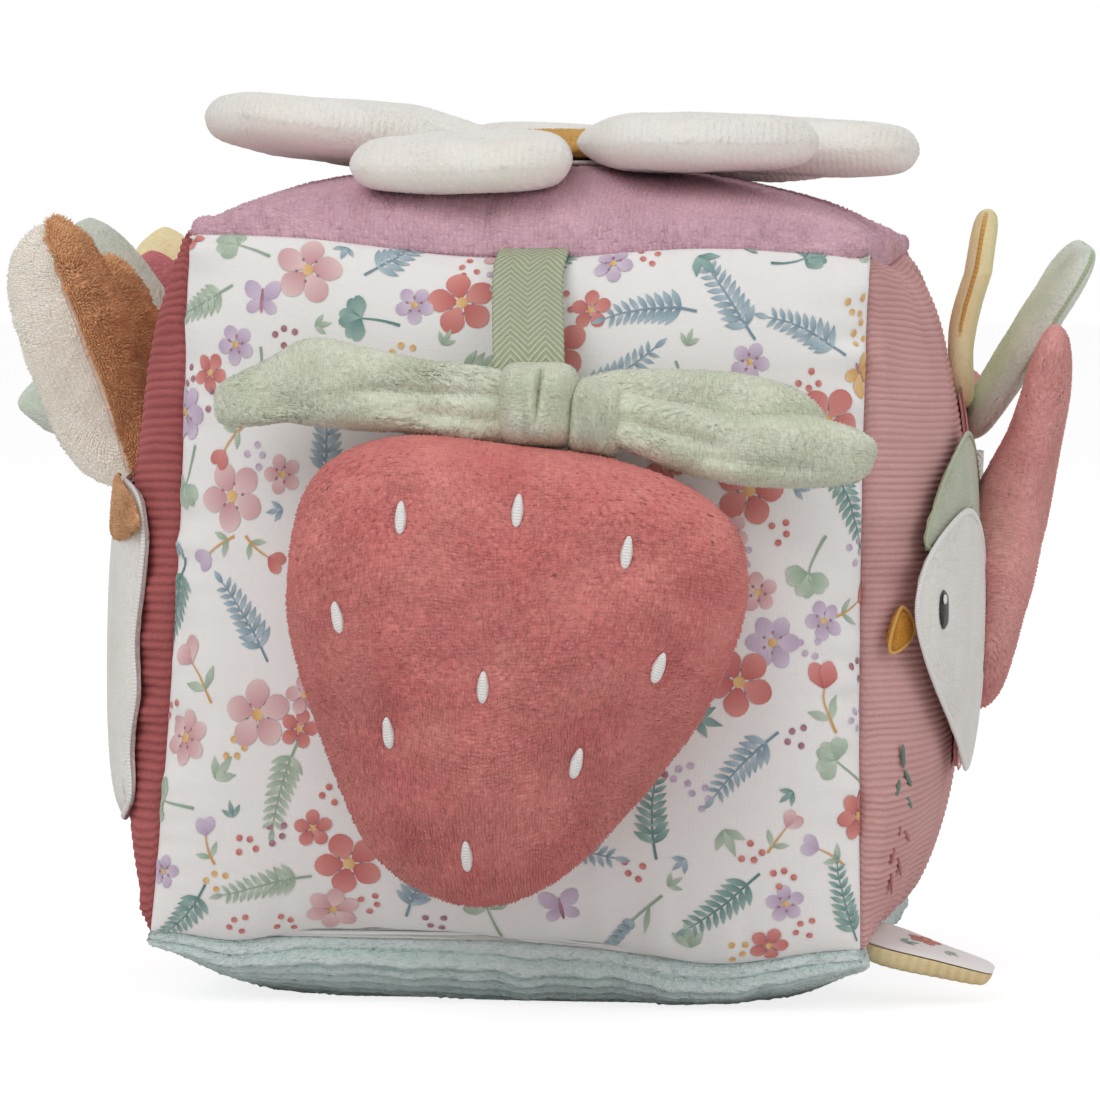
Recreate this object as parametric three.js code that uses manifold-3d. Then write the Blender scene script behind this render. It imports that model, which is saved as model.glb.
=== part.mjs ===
// Soft activity block for a baby: a stuffed cube of six sewn fabric panels, with a strawberry to lift on the
// front, a bird with a wing and tail on the right, a rabbit with two ears on the left and a flower on the top.
// Millimetres, +Z up. The origin is the centre of the flat patch that the block stands on. The front faces -Y.
import * as THREE from "three";
import { mergeVertices } from "three/addons/utils/BufferGeometryUtils.js";
import Module from "manifold-3d";

const wasm = await Module();
wasm.setup();

// Sizes shared by the whole block
const sewnGap = 0.3; // clearance between neighbouring pieces
const cutOverrun = 5; // how far a cutting solid runs past what it cuts
const skinLift = 0.4; // clearance under a piece that lies along a crowned panel

// Cube of panels
const blockSide = 156; // corner to corner along a seam
const seamDips = [1.2, 3.5, 3.5]; // how far the middle of a seam is drawn in along X, Y and Z
const panelThickness = 2.4; // face cloth with its backing
const frontCrown = 14; // how far each panel swells past its corners
const backCrown = 18.5;
const sideCrown = 18.5;
const topCrown = 18.5;
const bottomCrown = 24; // before the floor flattens it
const footHeight = 12.5; // floor to the middle of the bottom seams
const panelSteps = 10;
const crownPower = 0.42;
const dipPower = 4;
const rimCrowding = 0.6; // how much the rows of a panel crowd towards its seams
const half = blockSide / 2;
const blockCentre = footHeight + half - seamDips[2];
// The sewing is a little out of square: each front corner is shifted by these shares of half the side.
const cornerShiftShares = [
  { corner: [-1, -1, 1], shift: [0.117, 0, 0.049] },
  { corner: [1, -1, 1], shift: [0.018, 0, -0.018] },
  { corner: [-1, -1, -1], shift: [0.005, 0, 0.1] },
  { corner: [1, -1, -1], shift: [0, 0, 0.082] },
];

// Rattle inside the stuffing
const rattleRadius = 17;
const rattleWall = 1.6;
const ballRadius = 3.2;
const ballRing = 5.5; // distance of the balls from the rattle's axis

// Ribbon that carries the strawberry
const ribbonWidth = 15;
const ribbonThickness = 1;
const ribbonX = 6.4;
const ribbonSteps = 8;
const ribbonBendShare = 0.9; // height at which the tape turns away from the panel
const ribbonBelly = 2; // how far it stands off the panel there

// Strawberry
const berryWidth = 98;
const berryHeight = 99.5;
const berryX = 7;
const berryZ = 76;
const berryFrontRise = 21;
const berryBackRise = 15;
const berryCover = 2;
const berryShares = [
  [-0.57, 0.98],
  [0, 0.96],
  [0.49, 0.87],
  [0.91, 0.65],
  [1, 0.37],
  [0.84, -0.12],
  [0.5, -0.55],
  [0.15, -0.9],
  [-0.2, -1],
  [-0.58, -0.81],
  [-0.78, -0.43],
  [-0.96, 0.04],
  [-1, 0.34],
  [-0.88, 0.8],
];

// Leaf strip with its knot
const knotWidth = 21;
const knotHeight = 18;
const knotRise = 8.5; // half the knot's depth
const knotX = 10;
const leafRootGap = 1.2; // from the knot to the root of a leaf
const knotFolds = 3;
const knotFoldDepth = 0.7;
const leftLeafLength = 57;
const leftLeafWidth = 17;
const rightLeafLength = 60;
const rightLeafWidth = 21;
const leafRise = 4.5; // half a leaf's thickness
const leftLeafDrop = 2; // fall of the leaf's tip below its root
const rightLeafDrop = 10;
const rightLeafRootDrop = 4; // fall of the right leaf's root below the knot's centre
const leafShares = [
  [0, 0.5],
  [0.14, 0.75],
  [0.45, 1],
  [0.78, 0.85],
  [0.96, 0.5],
  [1, 0],
];

// Flower on the top
const petalCount = 7;
const firstPetalAngle = -13; // degrees from the front, towards +X
const flowerX = 3;
const flowerCentreRadius = 18.5;
const flowerCentreHeight = 6.6;
const flowerBaseThickness = 1.6;
const petalLength = 64;
const petalWidth = 49;
const petalRootSink = 0.5; // how far the round root of a petal reaches in at the rim of the centre
const petalRise = 6.2; // half a petal's thickness
const petalDroops = [7.5, 1.5, 2.5, 3, 3, -6, -5.5]; // fall of each petal's tip below its root
const petalShares = [
  [0, 0.2],
  [0.18, 0.5],
  [0.4, 0.76],
  [0.55, 0.91],
  [0.72, 1],
  [0.9, 0.72],
  [1, 0],
];

// Bird on the right: each outline is in shares of the panel's half width and half height
const appliqueThickness = 1.3;
const faceThickness = 1.4;
const birdBodyShares = [
  [-0.42, -0.2],
  [-0.1, -0.55],
  [0.35, -0.45],
  [0.62, 0],
  [0.6, 0.42],
  [0.36, 0.6],
  [0.05, 0.35],
  [-0.3, 0.15],
];
const birdFaceShares = [
  [-0.46, 0.24],
  [-0.86, 0.13],
  [-0.93, -0.03],
  [-0.84, -0.22],
  [-0.54, -0.42],
  [-0.22, -0.52],
  [-0.02, -0.32],
  [0, -0.04],
  [-0.08, 0.12],
];
const birdCapShares = [
  [-0.86, 0.15],
  [-0.72, 0.33],
  [-0.22, 0.47],
  [0.05, 0.4],
  [0.22, 0.2],
  [0.1, 0.06],
  [-0.3, 0.2],
];
const birdBeakShares = [
  [-0.98, -0.14],
  [-0.93, 0.05],
  [-0.89, -0.06],
];
const wingLength = 89;
const wingWidth = 38;
const wingOuterRise = 6.4;
const wingInnerRise = 4.4;
const wingLean = 11; // degrees out from upright
const wingAcrossShare = 0.18; // place of the wing's root in shares of the panel's half width and half height
const wingUpShare = -0.355;
const wingRootLift = 3.9; // from the panel's surface to the seam of the wing's root
const wingShares = [
  [0, 0.3],
  [0.1, 0.72],
  [0.3, 1],
  [0.55, 0.86],
  [0.8, 0.55],
  [0.95, 0.36],
  [1, 0],
];

// Padded tabs, of one outline: the bird's tail, the fan behind the rabbit and the corner flap
// Their tables give shares: of the longest tab, of the widest, of half the block for their place, of the seat.
const tabLength = 51;
const tabWidth = 21;
const tabRise = 3; // half a tab's thickness
const tabSeat = 3.4; // from the panel's surface to the middle of a tab's root
const tabShares = [
  [0, 0.55],
  [0.3, 0.85],
  [0.65, 1],
  [0.9, 0.8],
  [1, 0],
];
const tailTabs = [
  {
    name: "tail_tab_yellow", colour: "#dbb682", lengthShare: 0.88, widthShare: 1,
    acrossShare: 0.475, upShare: 0.55, seatShare: 0.6, lean: 3, curlShare: 0.05,
  },
  {
    name: "tail_tab_green", colour: "#a9b99f", lengthShare: 1, widthShare: 1,
    acrossShare: 0.475, upShare: 0.46, seatShare: 0.68, lean: 32, curlShare: 0,
  },
];
const rearTailTab = {
  name: "tail_tab_pink", colour: "#c08a86", lengthShare: 0.67, widthShare: 0.8,
  acrossShare: 0.72, upShare: 0.48, seatShare: 0.3, direction: [0.5, 0.75, 0.43],
};
const pointedShares = [
  [0, 0.5],
  [0.28, 0.8],
  [0.6, 1],
  [0.84, 0.86],
  [1, 0],
];
const fanTabs = [
  {
    name: "fan_tab_ochre", colour: "#d9b07a", lengthShare: 0.42, widthShare: 0.72,
    acrossShare: -0.833, upShare: 0.72, seatShare: 1, climb: 72, tilt: -24, shares: tabShares,
  },
  {
    name: "fan_tab_red", colour: "#b56a70", lengthShare: 0.55, widthShare: 0.72,
    acrossShare: -0.705, upShare: 0.7, seatShare: 0.76, climb: 52, tilt: -8, shares: tabShares,
  },
  {
    name: "fan_tab_green_upper", colour: "#9fae90", lengthShare: 0.76, widthShare: 1,
    acrossShare: -0.577, upShare: 0.62, seatShare: 1.12, climb: 58, tilt: 6, shares: tabShares,
  },
  {
    name: "fan_tab_green_lower", colour: "#aab898", lengthShare: 0.92, widthShare: 0.95,
    acrossShare: -0.718, upShare: 0.58, seatShare: 0.38, climb: -5, tilt: 0, shares: pointedShares,
  },
];

// Rabbit on the left
const rabbitHeadShares = [
  [0, 0.3],
  [-0.34, 0.26],
  [-0.52, 0.02],
  [-0.52, -0.32],
  [-0.3, -0.57],
  [0, -0.64],
  [0.34, -0.58],
  [0.6, -0.32],
  [0.62, 0],
  [0.42, 0.24],
];
const rabbitPatchShares = [
  [0.3, 0.25],
  [0.46, 0.2],
  [0.56, 0.04],
  [0.38, 0.08],
];
const rabbitThickness = 3;
const patchThickness = 1.4;
const earLength = 61;
const earWidth = 30;
const earInnerRise = 12.5; // cream side, facing out
const earBackRise = 9; // brown side, facing the block
const earUpShare = 0.31; // height of the ears' roots in shares of the panel's half height
const earShares = [
  [0, 0.3],
  [0.2, 0.55],
  [0.5, 0.92],
  [0.72, 1],
  [0.9, 0.74],
  [1, 0],
];
const earSeat = 3.6; // from the panel's surface to the middle of an ear's root
const ears = [
  { name: "front", lengthShare: 1, acrossShare: 0.256, seatShare: 0.81, lean: 15, curlShare: 0.08 },
  { name: "rear", lengthShare: 0.84, acrossShare: -0.231, seatShare: 1.12, lean: 12, curlShare: 0.05 },
];

// Corner flap and tape loop
const flapLength = 27;
const flapWidth = 30;
const flapTopRise = 1.8;
const flapUnderRise = 4.2; // the ribbed layer is the padded one
const flapShares = [
  [0, 1],
  [0.5, 0.66],
  [0.95, 0.34],
  [1, 0],
];
const flapRootShare = -0.66; // place of the flap along the bottom seam
const flapTilt = 16; // degrees below level
const flapRootLift = 2.2; // from the seam to the flap's root
const loopLength = 20;
const loopWidth = 12.5;
const loopTape = 0.9;
const loopOpening = 1.4; // gap between the two runs of the folded tape
const loopShare = 0.3;

const radians = THREE.MathUtils.degToRad;
const block = new THREE.Group();

const FACES = {
  front: { out: [0, -1, 0], across: [1, 0, 0], up: [0, 0, 1], crown: frontCrown },
  back: { out: [0, 1, 0], across: [-1, 0, 0], up: [0, 0, 1], crown: backCrown },
  left: { out: [-1, 0, 0], across: [0, -1, 0], up: [0, 0, 1], crown: sideCrown },
  right: { out: [1, 0, 0], across: [0, 1, 0], up: [0, 0, 1], crown: sideCrown },
  top: { out: [0, 0, 1], across: [1, 0, 0], up: [0, 1, 0], crown: topCrown },
  bottom: { out: [0, 0, -1], across: [1, 0, 0], up: [0, -1, 0], crown: bottomCrown },
};

function vector(list) {
  return new THREE.Vector3(...list);
}

// A point of the stuffed cube's skin on one face, where u and v run from -1 to 1 across it. Depth goes inwards
// from the outer surface, and rimGap holds the face back from the mitre that it shares with its neighbours.
function skinPoint(face, u, v, depth, rimGap = 0) {
  const out = vector(face.out);
  const cube = out.clone().addScaledVector(vector(face.across), u).addScaledVector(vector(face.up), v);
  const names = ["x", "y", "z"];
  const point = new THREE.Vector3();
  names.forEach((axis, i) => {
    const b = cube[names[(i + 1) % names.length]];
    const c = cube[names[(i + 2) % names.length]];
    const dip = seamDips[i] * ((1 - b * b) * c ** dipPower + (1 - c * c) * b ** dipPower);
    const reach = half - depth - (out[axis] ? 0 : rimGap);
    point[axis] = cube[axis] * (reach - dip);
  });
  point.addScaledVector(out, face.crown * Math.max(0, (1 - u * u) * (1 - v * v)) ** crownPower);
  for (const { corner, shift } of cornerShiftShares) {
    const near = corner.map((sign, i) => (1 + sign * cube[names[i]]) / 2);
    point.addScaledVector(vector(shift), half * near[0] * near[1] * near[2]);
  }
  point.z += blockCentre;
  if (face === FACES.bottom) point.z = Math.max(point.z, depth);
  return point;
}

// Rows crowd towards the seams, where the cloth turns most.
function rowShare(step) {
  const even = (2 * step) / panelSteps - 1;
  return THREE.MathUtils.lerp(even, Math.sin((even * Math.PI) / 2), rimCrowding);
}

// A closed geometry from triangles of points, turned right side out.
function closedGeometry(triangles) {
  let volume = 0;
  for (const [a, b, c] of triangles) volume += a.dot(b.clone().cross(c));
  const facing = volume < 0 ? triangles.map(([a, b, c]) => [a, c, b]) : triangles;
  const geometry = new THREE.BufferGeometry().setFromPoints(facing.flat());
  return mergeVertices(geometry);
}

function solidOf(geometry) {
  const bare = geometry.clone();
  bare.deleteAttribute("normal");
  bare.deleteAttribute("uv");
  const merged = mergeVertices(bare);
  const vertProperties = new Float32Array(merged.attributes.position.array);
  const triVerts = new Uint32Array(merged.index.array);
  return new wasm.Manifold(new wasm.Mesh({ numProp: 3, vertProperties, triVerts }));
}

function geometryOf(solid) {
  const mesh = solid.getMesh();
  const geometry = new THREE.BufferGeometry();
  geometry.setAttribute("position", new THREE.BufferAttribute(mesh.vertProperties, 3));
  geometry.setIndex(new THREE.BufferAttribute(mesh.triVerts, 1));
  return geometry;
}

function add(name, geometry, colour, roughness = 0.95) {
  const material = new THREE.MeshStandardMaterial({ color: colour, roughness, metalness: 0 });
  const mesh = new THREE.Mesh(geometry, material);
  mesh.name = name;
  block.add(mesh);
}

// A closed solid from a front pole, rings of equal count and a back pole.
function ringSolid(frontPole, rings, backPole) {
  const triangles = [];
  const count = rings[0].length;
  for (let i = 0; i < count; i += 1) {
    const next = (i + 1) % count;
    triangles.push([frontPole, rings[0][i], rings[0][next]]);
    for (let k = 0; k + 1 < rings.length; k += 1) {
      triangles.push([rings[k][i], rings[k + 1][i], rings[k + 1][next]]);
      triangles.push([rings[k][i], rings[k + 1][next], rings[k][next]]);
    }
    triangles.push([rings.at(-1)[i], backPole, rings.at(-1)[next]]);
  }
  return closedGeometry(triangles);
}

// A smooth closed outline through points given in shares, with half sizes for the two directions.
function smoothOutline(shares, sides, halfAcross, halfUp) {
  const points = shares.map(([x, y]) => new THREE.Vector3(x * halfAcross, y * halfUp, 0));
  const curve = new THREE.CatmullRomCurve3(points, true, "centripetal");
  return curve.getSpacedPoints(sides).slice(0, sides);
}

function middleOf(outline) {
  const middle = new THREE.Vector3();
  for (const p of outline) middle.addScaledVector(p, 1 / outline.length);
  return middle;
}

// The outline of a piece that is alike on both sides of its length, from its root at zero to its tip.
function leafOutline(shares, sides, length, width) {
  const other = shares.slice(0, -1).reverse().map(([along, across]) => [along, -across]);
  return smoothOutline([...shares, ...other], sides, length, width / 2);
}

// A place with its own axes: along the piece, across it, and out of its face.
function frameAt(origin, along, faceOut) {
  const length = along.clone().normalize();
  const across = faceOut.clone().cross(length).normalize();
  const out = length.clone().cross(across);
  return (x, y, z) =>
    origin.clone().addScaledVector(length, x).addScaledVector(across, y).addScaledVector(out, z);
}

// A stuffed piece sewn from two faces along one outline. Each face is a dome with its own rise, and a piece
// with one rise of zero is half of such a form. Curl lifts the tip out of the plane of the seam.
function pillow({ outline, front, back, place, rings = 4, curl = 0, reach = 1, relief = () => 0, seat = 0 }) {
  const centre = middleOf(outline);
  const point = (p, share, rise) => {
    const flat = centre.clone().lerp(p, share);
    const dome = Math.sqrt(Math.max(0, 1 - share * share));
    const height = rise * dome + seat + Math.sign(rise) * relief(flat.x, flat.y) * dome;
    return place(flat.x, flat.y, height + curl * (flat.x / reach) ** 2);
  };
  const sweep = (rise, k) => {
    const share = rise === 0 ? k / rings : Math.sin((Math.PI / 2) * (k / rings));
    return outline.map((p) => point(p, share, rise));
  };
  const layers = [];
  for (let k = 1; k <= rings; k += 1) layers.push(sweep(front, k));
  for (let k = rings - 1; k >= 1; k -= 1) layers.push(sweep(back, k));
  return ringSolid(point(centre, 0, front), layers, point(centre, 0, back));
}

// A piece that lies along a panel, its outline in shares of the panel and its top slightly domed.
function applique(face, shares, lift, thickness, sides = 20, rings = 3, spread = 0) {
  const outline = smoothOutline(shares, sides, 1, 1);
  const centre = middleOf(outline);
  const point = (p, share, outer) => {
    const flat = centre.clone().lerp(p, share);
    if (spread) flat.addScaledVector(p.clone().sub(centre).normalize(), (spread / half) * share);
    const rise = outer ? thickness * (1 + Math.sqrt(1 - share ** 4)) / 2 : 0;
    return skinPoint(face, flat.x, flat.y, -(lift + rise));
  };
  const layer = (k, outer) => outline.map((p) => point(p, k / rings, outer));
  const layers = [];
  for (let k = 1; k <= rings; k += 1) layers.push(layer(k, true));
  for (let k = rings; k >= 1; k -= 1) layers.push(layer(k, false));
  return ringSolid(point(centre, 0, true), layers, point(centre, 0, false));
}

// Panels: crowned shells that meet at mitres along the seams
function panelGeometry(face) {
  const mitreGap = sewnGap / Math.SQRT2;
  const sheet = (depth) => {
    const rows = [];
    for (let j = 0; j <= panelSteps; j += 1) {
      const row = [];
      for (let i = 0; i <= panelSteps; i += 1) {
        row.push(skinPoint(face, rowShare(i), rowShare(j), depth, mitreGap));
      }
      rows.push(row);
    }
    return rows;
  };
  const outer = sheet(0);
  const inner = sheet(panelThickness);
  const triangles = [];
  for (let j = 0; j < panelSteps; j += 1) {
    for (let i = 0; i < panelSteps; i += 1) {
      const corners = [[j, i], [j, i + 1], [j + 1, i + 1], [j + 1, i]];
      const [a, b, c, d] = corners.map(([row, column]) => outer[row][column]);
      triangles.push([a, b, c], [a, c, d]);
      const [e, f, g, h] = corners.map(([row, column]) => inner[row][column]);
      triangles.push([e, g, f], [e, h, g]);
    }
  }
  const last = panelSteps;
  for (let k = 0; k < panelSteps; k += 1) {
    const edges = [
      [[0, k], [0, k + 1]],
      [[k, last], [k + 1, last]],
      [[last, k + 1], [last, k]],
      [[k + 1, 0], [k, 0]],
    ];
    for (const [[j0, i0], [j1, i1]] of edges) {
      triangles.push([outer[j0][i0], inner[j0][i0], inner[j1][i1]]);
      triangles.push([outer[j0][i0], inner[j1][i1], outer[j1][i1]]);
    }
  }
  return closedGeometry(triangles);
}

const panelColours = {
  front: "#eeecea",
  back: "#b9c0a4",
  left: "#96464a",
  right: "#c08f8d",
  top: "#c2a3b4",
  bottom: "#a9bdb3",
};
for (const [name, face] of Object.entries(FACES)) {
  add("panel_" + name, panelGeometry(face), panelColours[name]);
}

// Stuffing in two halves, with a pocket for the rattle between them
function coreSolid() {
  const depth = panelThickness + sewnGap;
  const triangles = [];
  for (const face of Object.values(FACES)) {
    const at = (i, j) => skinPoint(face, rowShare(i), rowShare(j), depth);
    for (let j = 0; j < panelSteps; j += 1) {
      for (let i = 0; i < panelSteps; i += 1) {
        triangles.push([at(i, j), at(i + 1, j), at(i + 1, j + 1)]);
        triangles.push([at(i, j), at(i + 1, j + 1), at(i, j + 1)]);
      }
    }
  }
  return solidOf(closedGeometry(triangles));
}

const rattleSides = 16;
const facetShare = Math.cos(Math.PI / rattleSides) ** 2; // how far a faceted ball falls short of a round one
const pocketRadius = (rattleRadius + sewnGap) / facetShare;
const pocket = new THREE.SphereGeometry(pocketRadius, rattleSides, rattleSides / 2);
pocket.rotateX(Math.PI / 2);
pocket.translate(0, 0, blockCentre);
const hollowCore = coreSolid().subtract(solidOf(pocket));
const cutterSide = blockSide + 2 * (sideCrown + cutOverrun);
for (const [name, side] of [["front", 1], ["back", -1]]) {
  const cutter = new THREE.BoxGeometry(cutterSide, cutterSide, cutterSide);
  cutter.translate(0, side * (cutterSide / 2 - sewnGap / 2), blockCentre);
  add("stuffing_" + name, geometryOf(hollowCore.subtract(solidOf(cutter))), "#f4f2ee");
}

// Rattle: two cups that close round three loose balls
function rattleCup(side) {
  const inner = rattleRadius - rattleWall;
  const steps = 5;
  const profile = [];
  const low = sewnGap / 2;
  for (let k = 0; k <= steps; k += 1) {
    const angle = (Math.PI / 2) * (k / steps);
    const rise = low + (rattleRadius - low) * Math.sin(angle);
    profile.push(new THREE.Vector2(rattleRadius * Math.cos(angle), rise));
  }
  for (let k = steps; k >= 0; k -= 1) {
    const angle = (Math.PI / 2) * (k / steps);
    profile.push(new THREE.Vector2(inner * Math.cos(angle), low + (inner - low) * Math.sin(angle)));
  }
  profile.push(profile[0].clone());
  for (const p of profile) if (p.x < sewnGap) p.x = 0;
  const cup = new THREE.LatheGeometry(profile, rattleSides);
  cup.rotateX(side > 0 ? Math.PI / 2 : -Math.PI / 2);
  cup.translate(0, 0, blockCentre);
  return geometryOf(solidOf(closedGeometry(trianglesOf(cup))));
}

function trianglesOf(geometry) {
  const flat = (geometry.index ? geometry.toNonIndexed() : geometry).attributes.position;
  const points = [];
  for (let i = 0; i < flat.count; i += 1) points.push(new THREE.Vector3().fromBufferAttribute(flat, i));
  const triangles = [];
  for (let i = 0; i < points.length; i += 3) triangles.push(points.slice(i, i + 3));
  return triangles.filter(([a, b, c]) => b.clone().sub(a).cross(c.clone().sub(a)).length() > 0);
}

add("rattle_cup_upper", rattleCup(1), "#f0f0ee", 0.4);
add("rattle_cup_lower", rattleCup(-1), "#f0f0ee", 0.4);
const ballCount = 3;
const ballFloor = Math.sqrt((rattleRadius - rattleWall - ballRadius - sewnGap) ** 2 - ballRing ** 2);
for (let i = 0; i < ballCount; i += 1) {
  const turn = (2 * Math.PI * i) / ballCount;
  const ball = new THREE.SphereGeometry(ballRadius, 8, 6);
  ball.translate(ballRing * Math.cos(turn), ballRing * Math.sin(turn), blockCentre - ballFloor);
  add("rattle_ball_" + (i + 1), ball, "#d8d8d4", 0.5);
}

// Strawberry: front and back covers sewn along one outline round their stuffing
const frontReach = -skinPoint(FACES.front, 0, 0, 0).y;
const berrySeamY = -(frontReach + skinLift + berryBackRise);
const berryPlace = frameAt(
  new THREE.Vector3(berryX, berrySeamY, berryZ),
  new THREE.Vector3(1, 0, 0),
  new THREE.Vector3(0, -1, 0),
);
const berrySides = 28;
const berryRings = 6;
const berryOutline = smoothOutline(berryShares, berrySides, berryWidth / 2, berryHeight / 2);

const berryCentre = middleOf(berryOutline);

// The outline drawn in towards its middle.
function insetOutline(inset) {
  return berryOutline.map((p) => {
    const arm = p.clone().sub(berryCentre);
    return p.clone().addScaledVector(arm.normalize(), -inset);
  });
}

function berryCoverGeometry(rise) {
  const side = Math.sign(rise);
  const layer = (share, height, inset) =>
    insetOutline(inset).map((p) => {
      const flat = berryCentre.clone().lerp(p, share);
      const dome = height * Math.sqrt(Math.max(0, 1 - share * share));
      return berryPlace(flat.x, flat.y, side * (sewnGap / 2) + dome);
    });
  const shares = [];
  for (let k = 1; k <= berryRings; k += 1) shares.push(Math.sin((Math.PI / 2) * (k / berryRings)));
  const outer = shares.map((share) => layer(share, rise, 0));
  const inner = shares.map((share) => layer(share, rise - side * berryCover, berryCover)).reverse();
  const pole = (height) => berryPlace(berryCentre.x, berryCentre.y, side * (sewnGap / 2) + height);
  return ringSolid(pole(rise), [...outer, ...inner], pole(rise - side * berryCover));
}

add("strawberry_front", berryCoverGeometry(berryFrontRise), "#c9635f");
add("strawberry_back", berryCoverGeometry(-berryBackRise), "#c9635f");
const stuffingInset = berryCover + sewnGap;
const stuffing = pillow({
  outline: insetOutline(stuffingInset),
  front: berryFrontRise - stuffingInset,
  back: -(berryBackRise - stuffingInset),
  place: berryPlace,
  rings: berryRings,
});
add("strawberry_stuffing", stuffing, "#f4f2ee");

// Knot and leaves of the plush strip, tied above the strawberry
const berryTop = berryZ + berryHeight / 2;
const knotZ = berryTop + sewnGap + knotHeight / 2;
const knotY = berrySeamY + knotRise / 2;
const knotOutline = [];
const knotSides = 20;
for (let i = 0; i < knotSides; i += 1) {
  const angle = (2 * Math.PI * i) / knotSides;
  const squared = (value) => Math.sign(value) * Math.sqrt(Math.abs(value));
  const corner = new THREE.Vector3(squared(Math.cos(angle)), squared(Math.sin(angle)), 0);
  knotOutline.push(corner.multiply(new THREE.Vector3(knotWidth / 2, knotHeight / 2, 0)));
}
const knot = pillow({
  outline: knotOutline,
  front: knotRise,
  back: -knotRise,
  place: frameAt(
    new THREE.Vector3(knotX, knotY, knotZ),
    new THREE.Vector3(1, 0, 0),
    new THREE.Vector3(0, -1, 0),
  ),
  rings: 4,
  relief: (x) => knotFoldDepth * Math.cos((2 * Math.PI * knotFolds * x) / knotWidth),
});
add("leaf_knot", knot, "#c3cdb2");

function leaf(side, length, width, rootDrop, tipDrop) {
  const root = new THREE.Vector3(knotX + side * (knotWidth / 2 + leafRootGap), knotY, knotZ - rootDrop);
  const outline = leafOutline(leafShares, 20, length, width);
  const along = new THREE.Vector3(side * length, 0, rootDrop - tipDrop);
  const place = frameAt(root, along, new THREE.Vector3(0, -1, 0));
  return pillow({ outline, front: leafRise, back: -leafRise, place });
}

add("leaf_left", leaf(-1, leftLeafLength, leftLeafWidth, 0, leftLeafDrop), "#c3cdb2");
add(
  "leaf_right",
  leaf(1, rightLeafLength, rightLeafWidth, rightLeafRootDrop, rightLeafDrop),
  "#c3cdb2",
);

// Ribbon: a tape from the top seam down over the panel to the top of the knot
function ribbonGeometry() {
  const onPanel = (share, belly) => {
    const skin = skinPoint(FACES.front, ribbonX / half, share, -skinLift);
    return new THREE.Vector2(skin.y - ribbonThickness - belly, skin.z);
  };
  const knotEnd = new THREE.Vector2(knotY, knotZ + knotHeight / 2 + ribbonThickness / 2 + sewnGap);
  const path = new THREE.SplineCurve([onPanel(1, 0), onPanel(ribbonBendShare, ribbonBelly), knotEnd]);
  const outer = [];
  const inner = [];
  for (let k = 0; k <= ribbonSteps; k += 1) {
    const at = path.getPoint(k / ribbonSteps);
    const along = path.getTangent(k / ribbonSteps);
    const side = new THREE.Vector2(-along.y, along.x).multiplyScalar(ribbonThickness / 2);
    outer.push(at.clone().add(side));
    inner.push(at.clone().sub(side));
  }
  const tape = new THREE.ExtrudeGeometry(new THREE.Shape([...outer, ...inner.reverse()]), {
    depth: ribbonWidth,
    bevelEnabled: false,
  });
  tape.applyMatrix4(
    new THREE.Matrix4().makeBasis(
      new THREE.Vector3(0, 1, 0),
      new THREE.Vector3(0, 0, 1),
      new THREE.Vector3(1, 0, 0),
    ),
  );
  tape.translate(ribbonX - ribbonWidth / 2, 0, 0);
  return closedGeometry(trianglesOf(tape));
}

add("ribbon", ribbonGeometry(), "#a8b491");

// Flower: seven padded petals round a button on a small base
const crownTop = skinPoint(FACES.top, flowerX / half, 0, 0).z;
const flowerBaseZ = crownTop + skinLift;
const flowerBase = new THREE.CylinderGeometry(flowerCentreRadius, flowerCentreRadius, flowerBaseThickness, 24);
flowerBase.rotateX(Math.PI / 2);
flowerBase.translate(flowerX, 0, flowerBaseZ + flowerBaseThickness / 2);
add("flower_base", flowerBase, "#e3ddcf");

const centreFloor = flowerBaseZ + flowerBaseThickness + sewnGap;
const centreProfileShares = [
  [0, 0],
  [0.94, 0],
  [1, 0.3],
  [0.92, 0.68],
  [0.6, 0.95],
  [0, 1],
];
const centreProfile = centreProfileShares.map(
  ([r, h]) => new THREE.Vector2(r * flowerCentreRadius, h * flowerCentreHeight),
);
const centre = new THREE.LatheGeometry(centreProfile, 24);
centre.rotateX(Math.PI / 2);
centre.translate(flowerX, 0, centreFloor);
add("flower_centre", closedGeometry(trianglesOf(centre)), "#d9a95f");

const petalRootRadius = flowerCentreRadius - petalRootSink;
const petalRootZ = flowerBaseZ + petalRise;
for (let i = 0; i < petalCount; i += 1) {
  const angle = radians(firstPetalAngle + (360 / petalCount) * i);
  const outward = new THREE.Vector3(Math.sin(angle), -Math.cos(angle), 0);
  const root = new THREE.Vector3(flowerX, 0, petalRootZ).addScaledVector(outward, petalRootRadius);
  const along = outward.clone().multiplyScalar(petalLength);
  along.z = -petalDroops[i];
  const petal = pillow({
    outline: leafOutline(petalShares, 20, petalLength, petalWidth),
    front: petalRise,
    back: -petalRise,
    place: frameAt(root, along, new THREE.Vector3(0, 0, 1)),
  });
  add("petal_" + (i + 1), petal, "#f1ede2");
}

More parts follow.
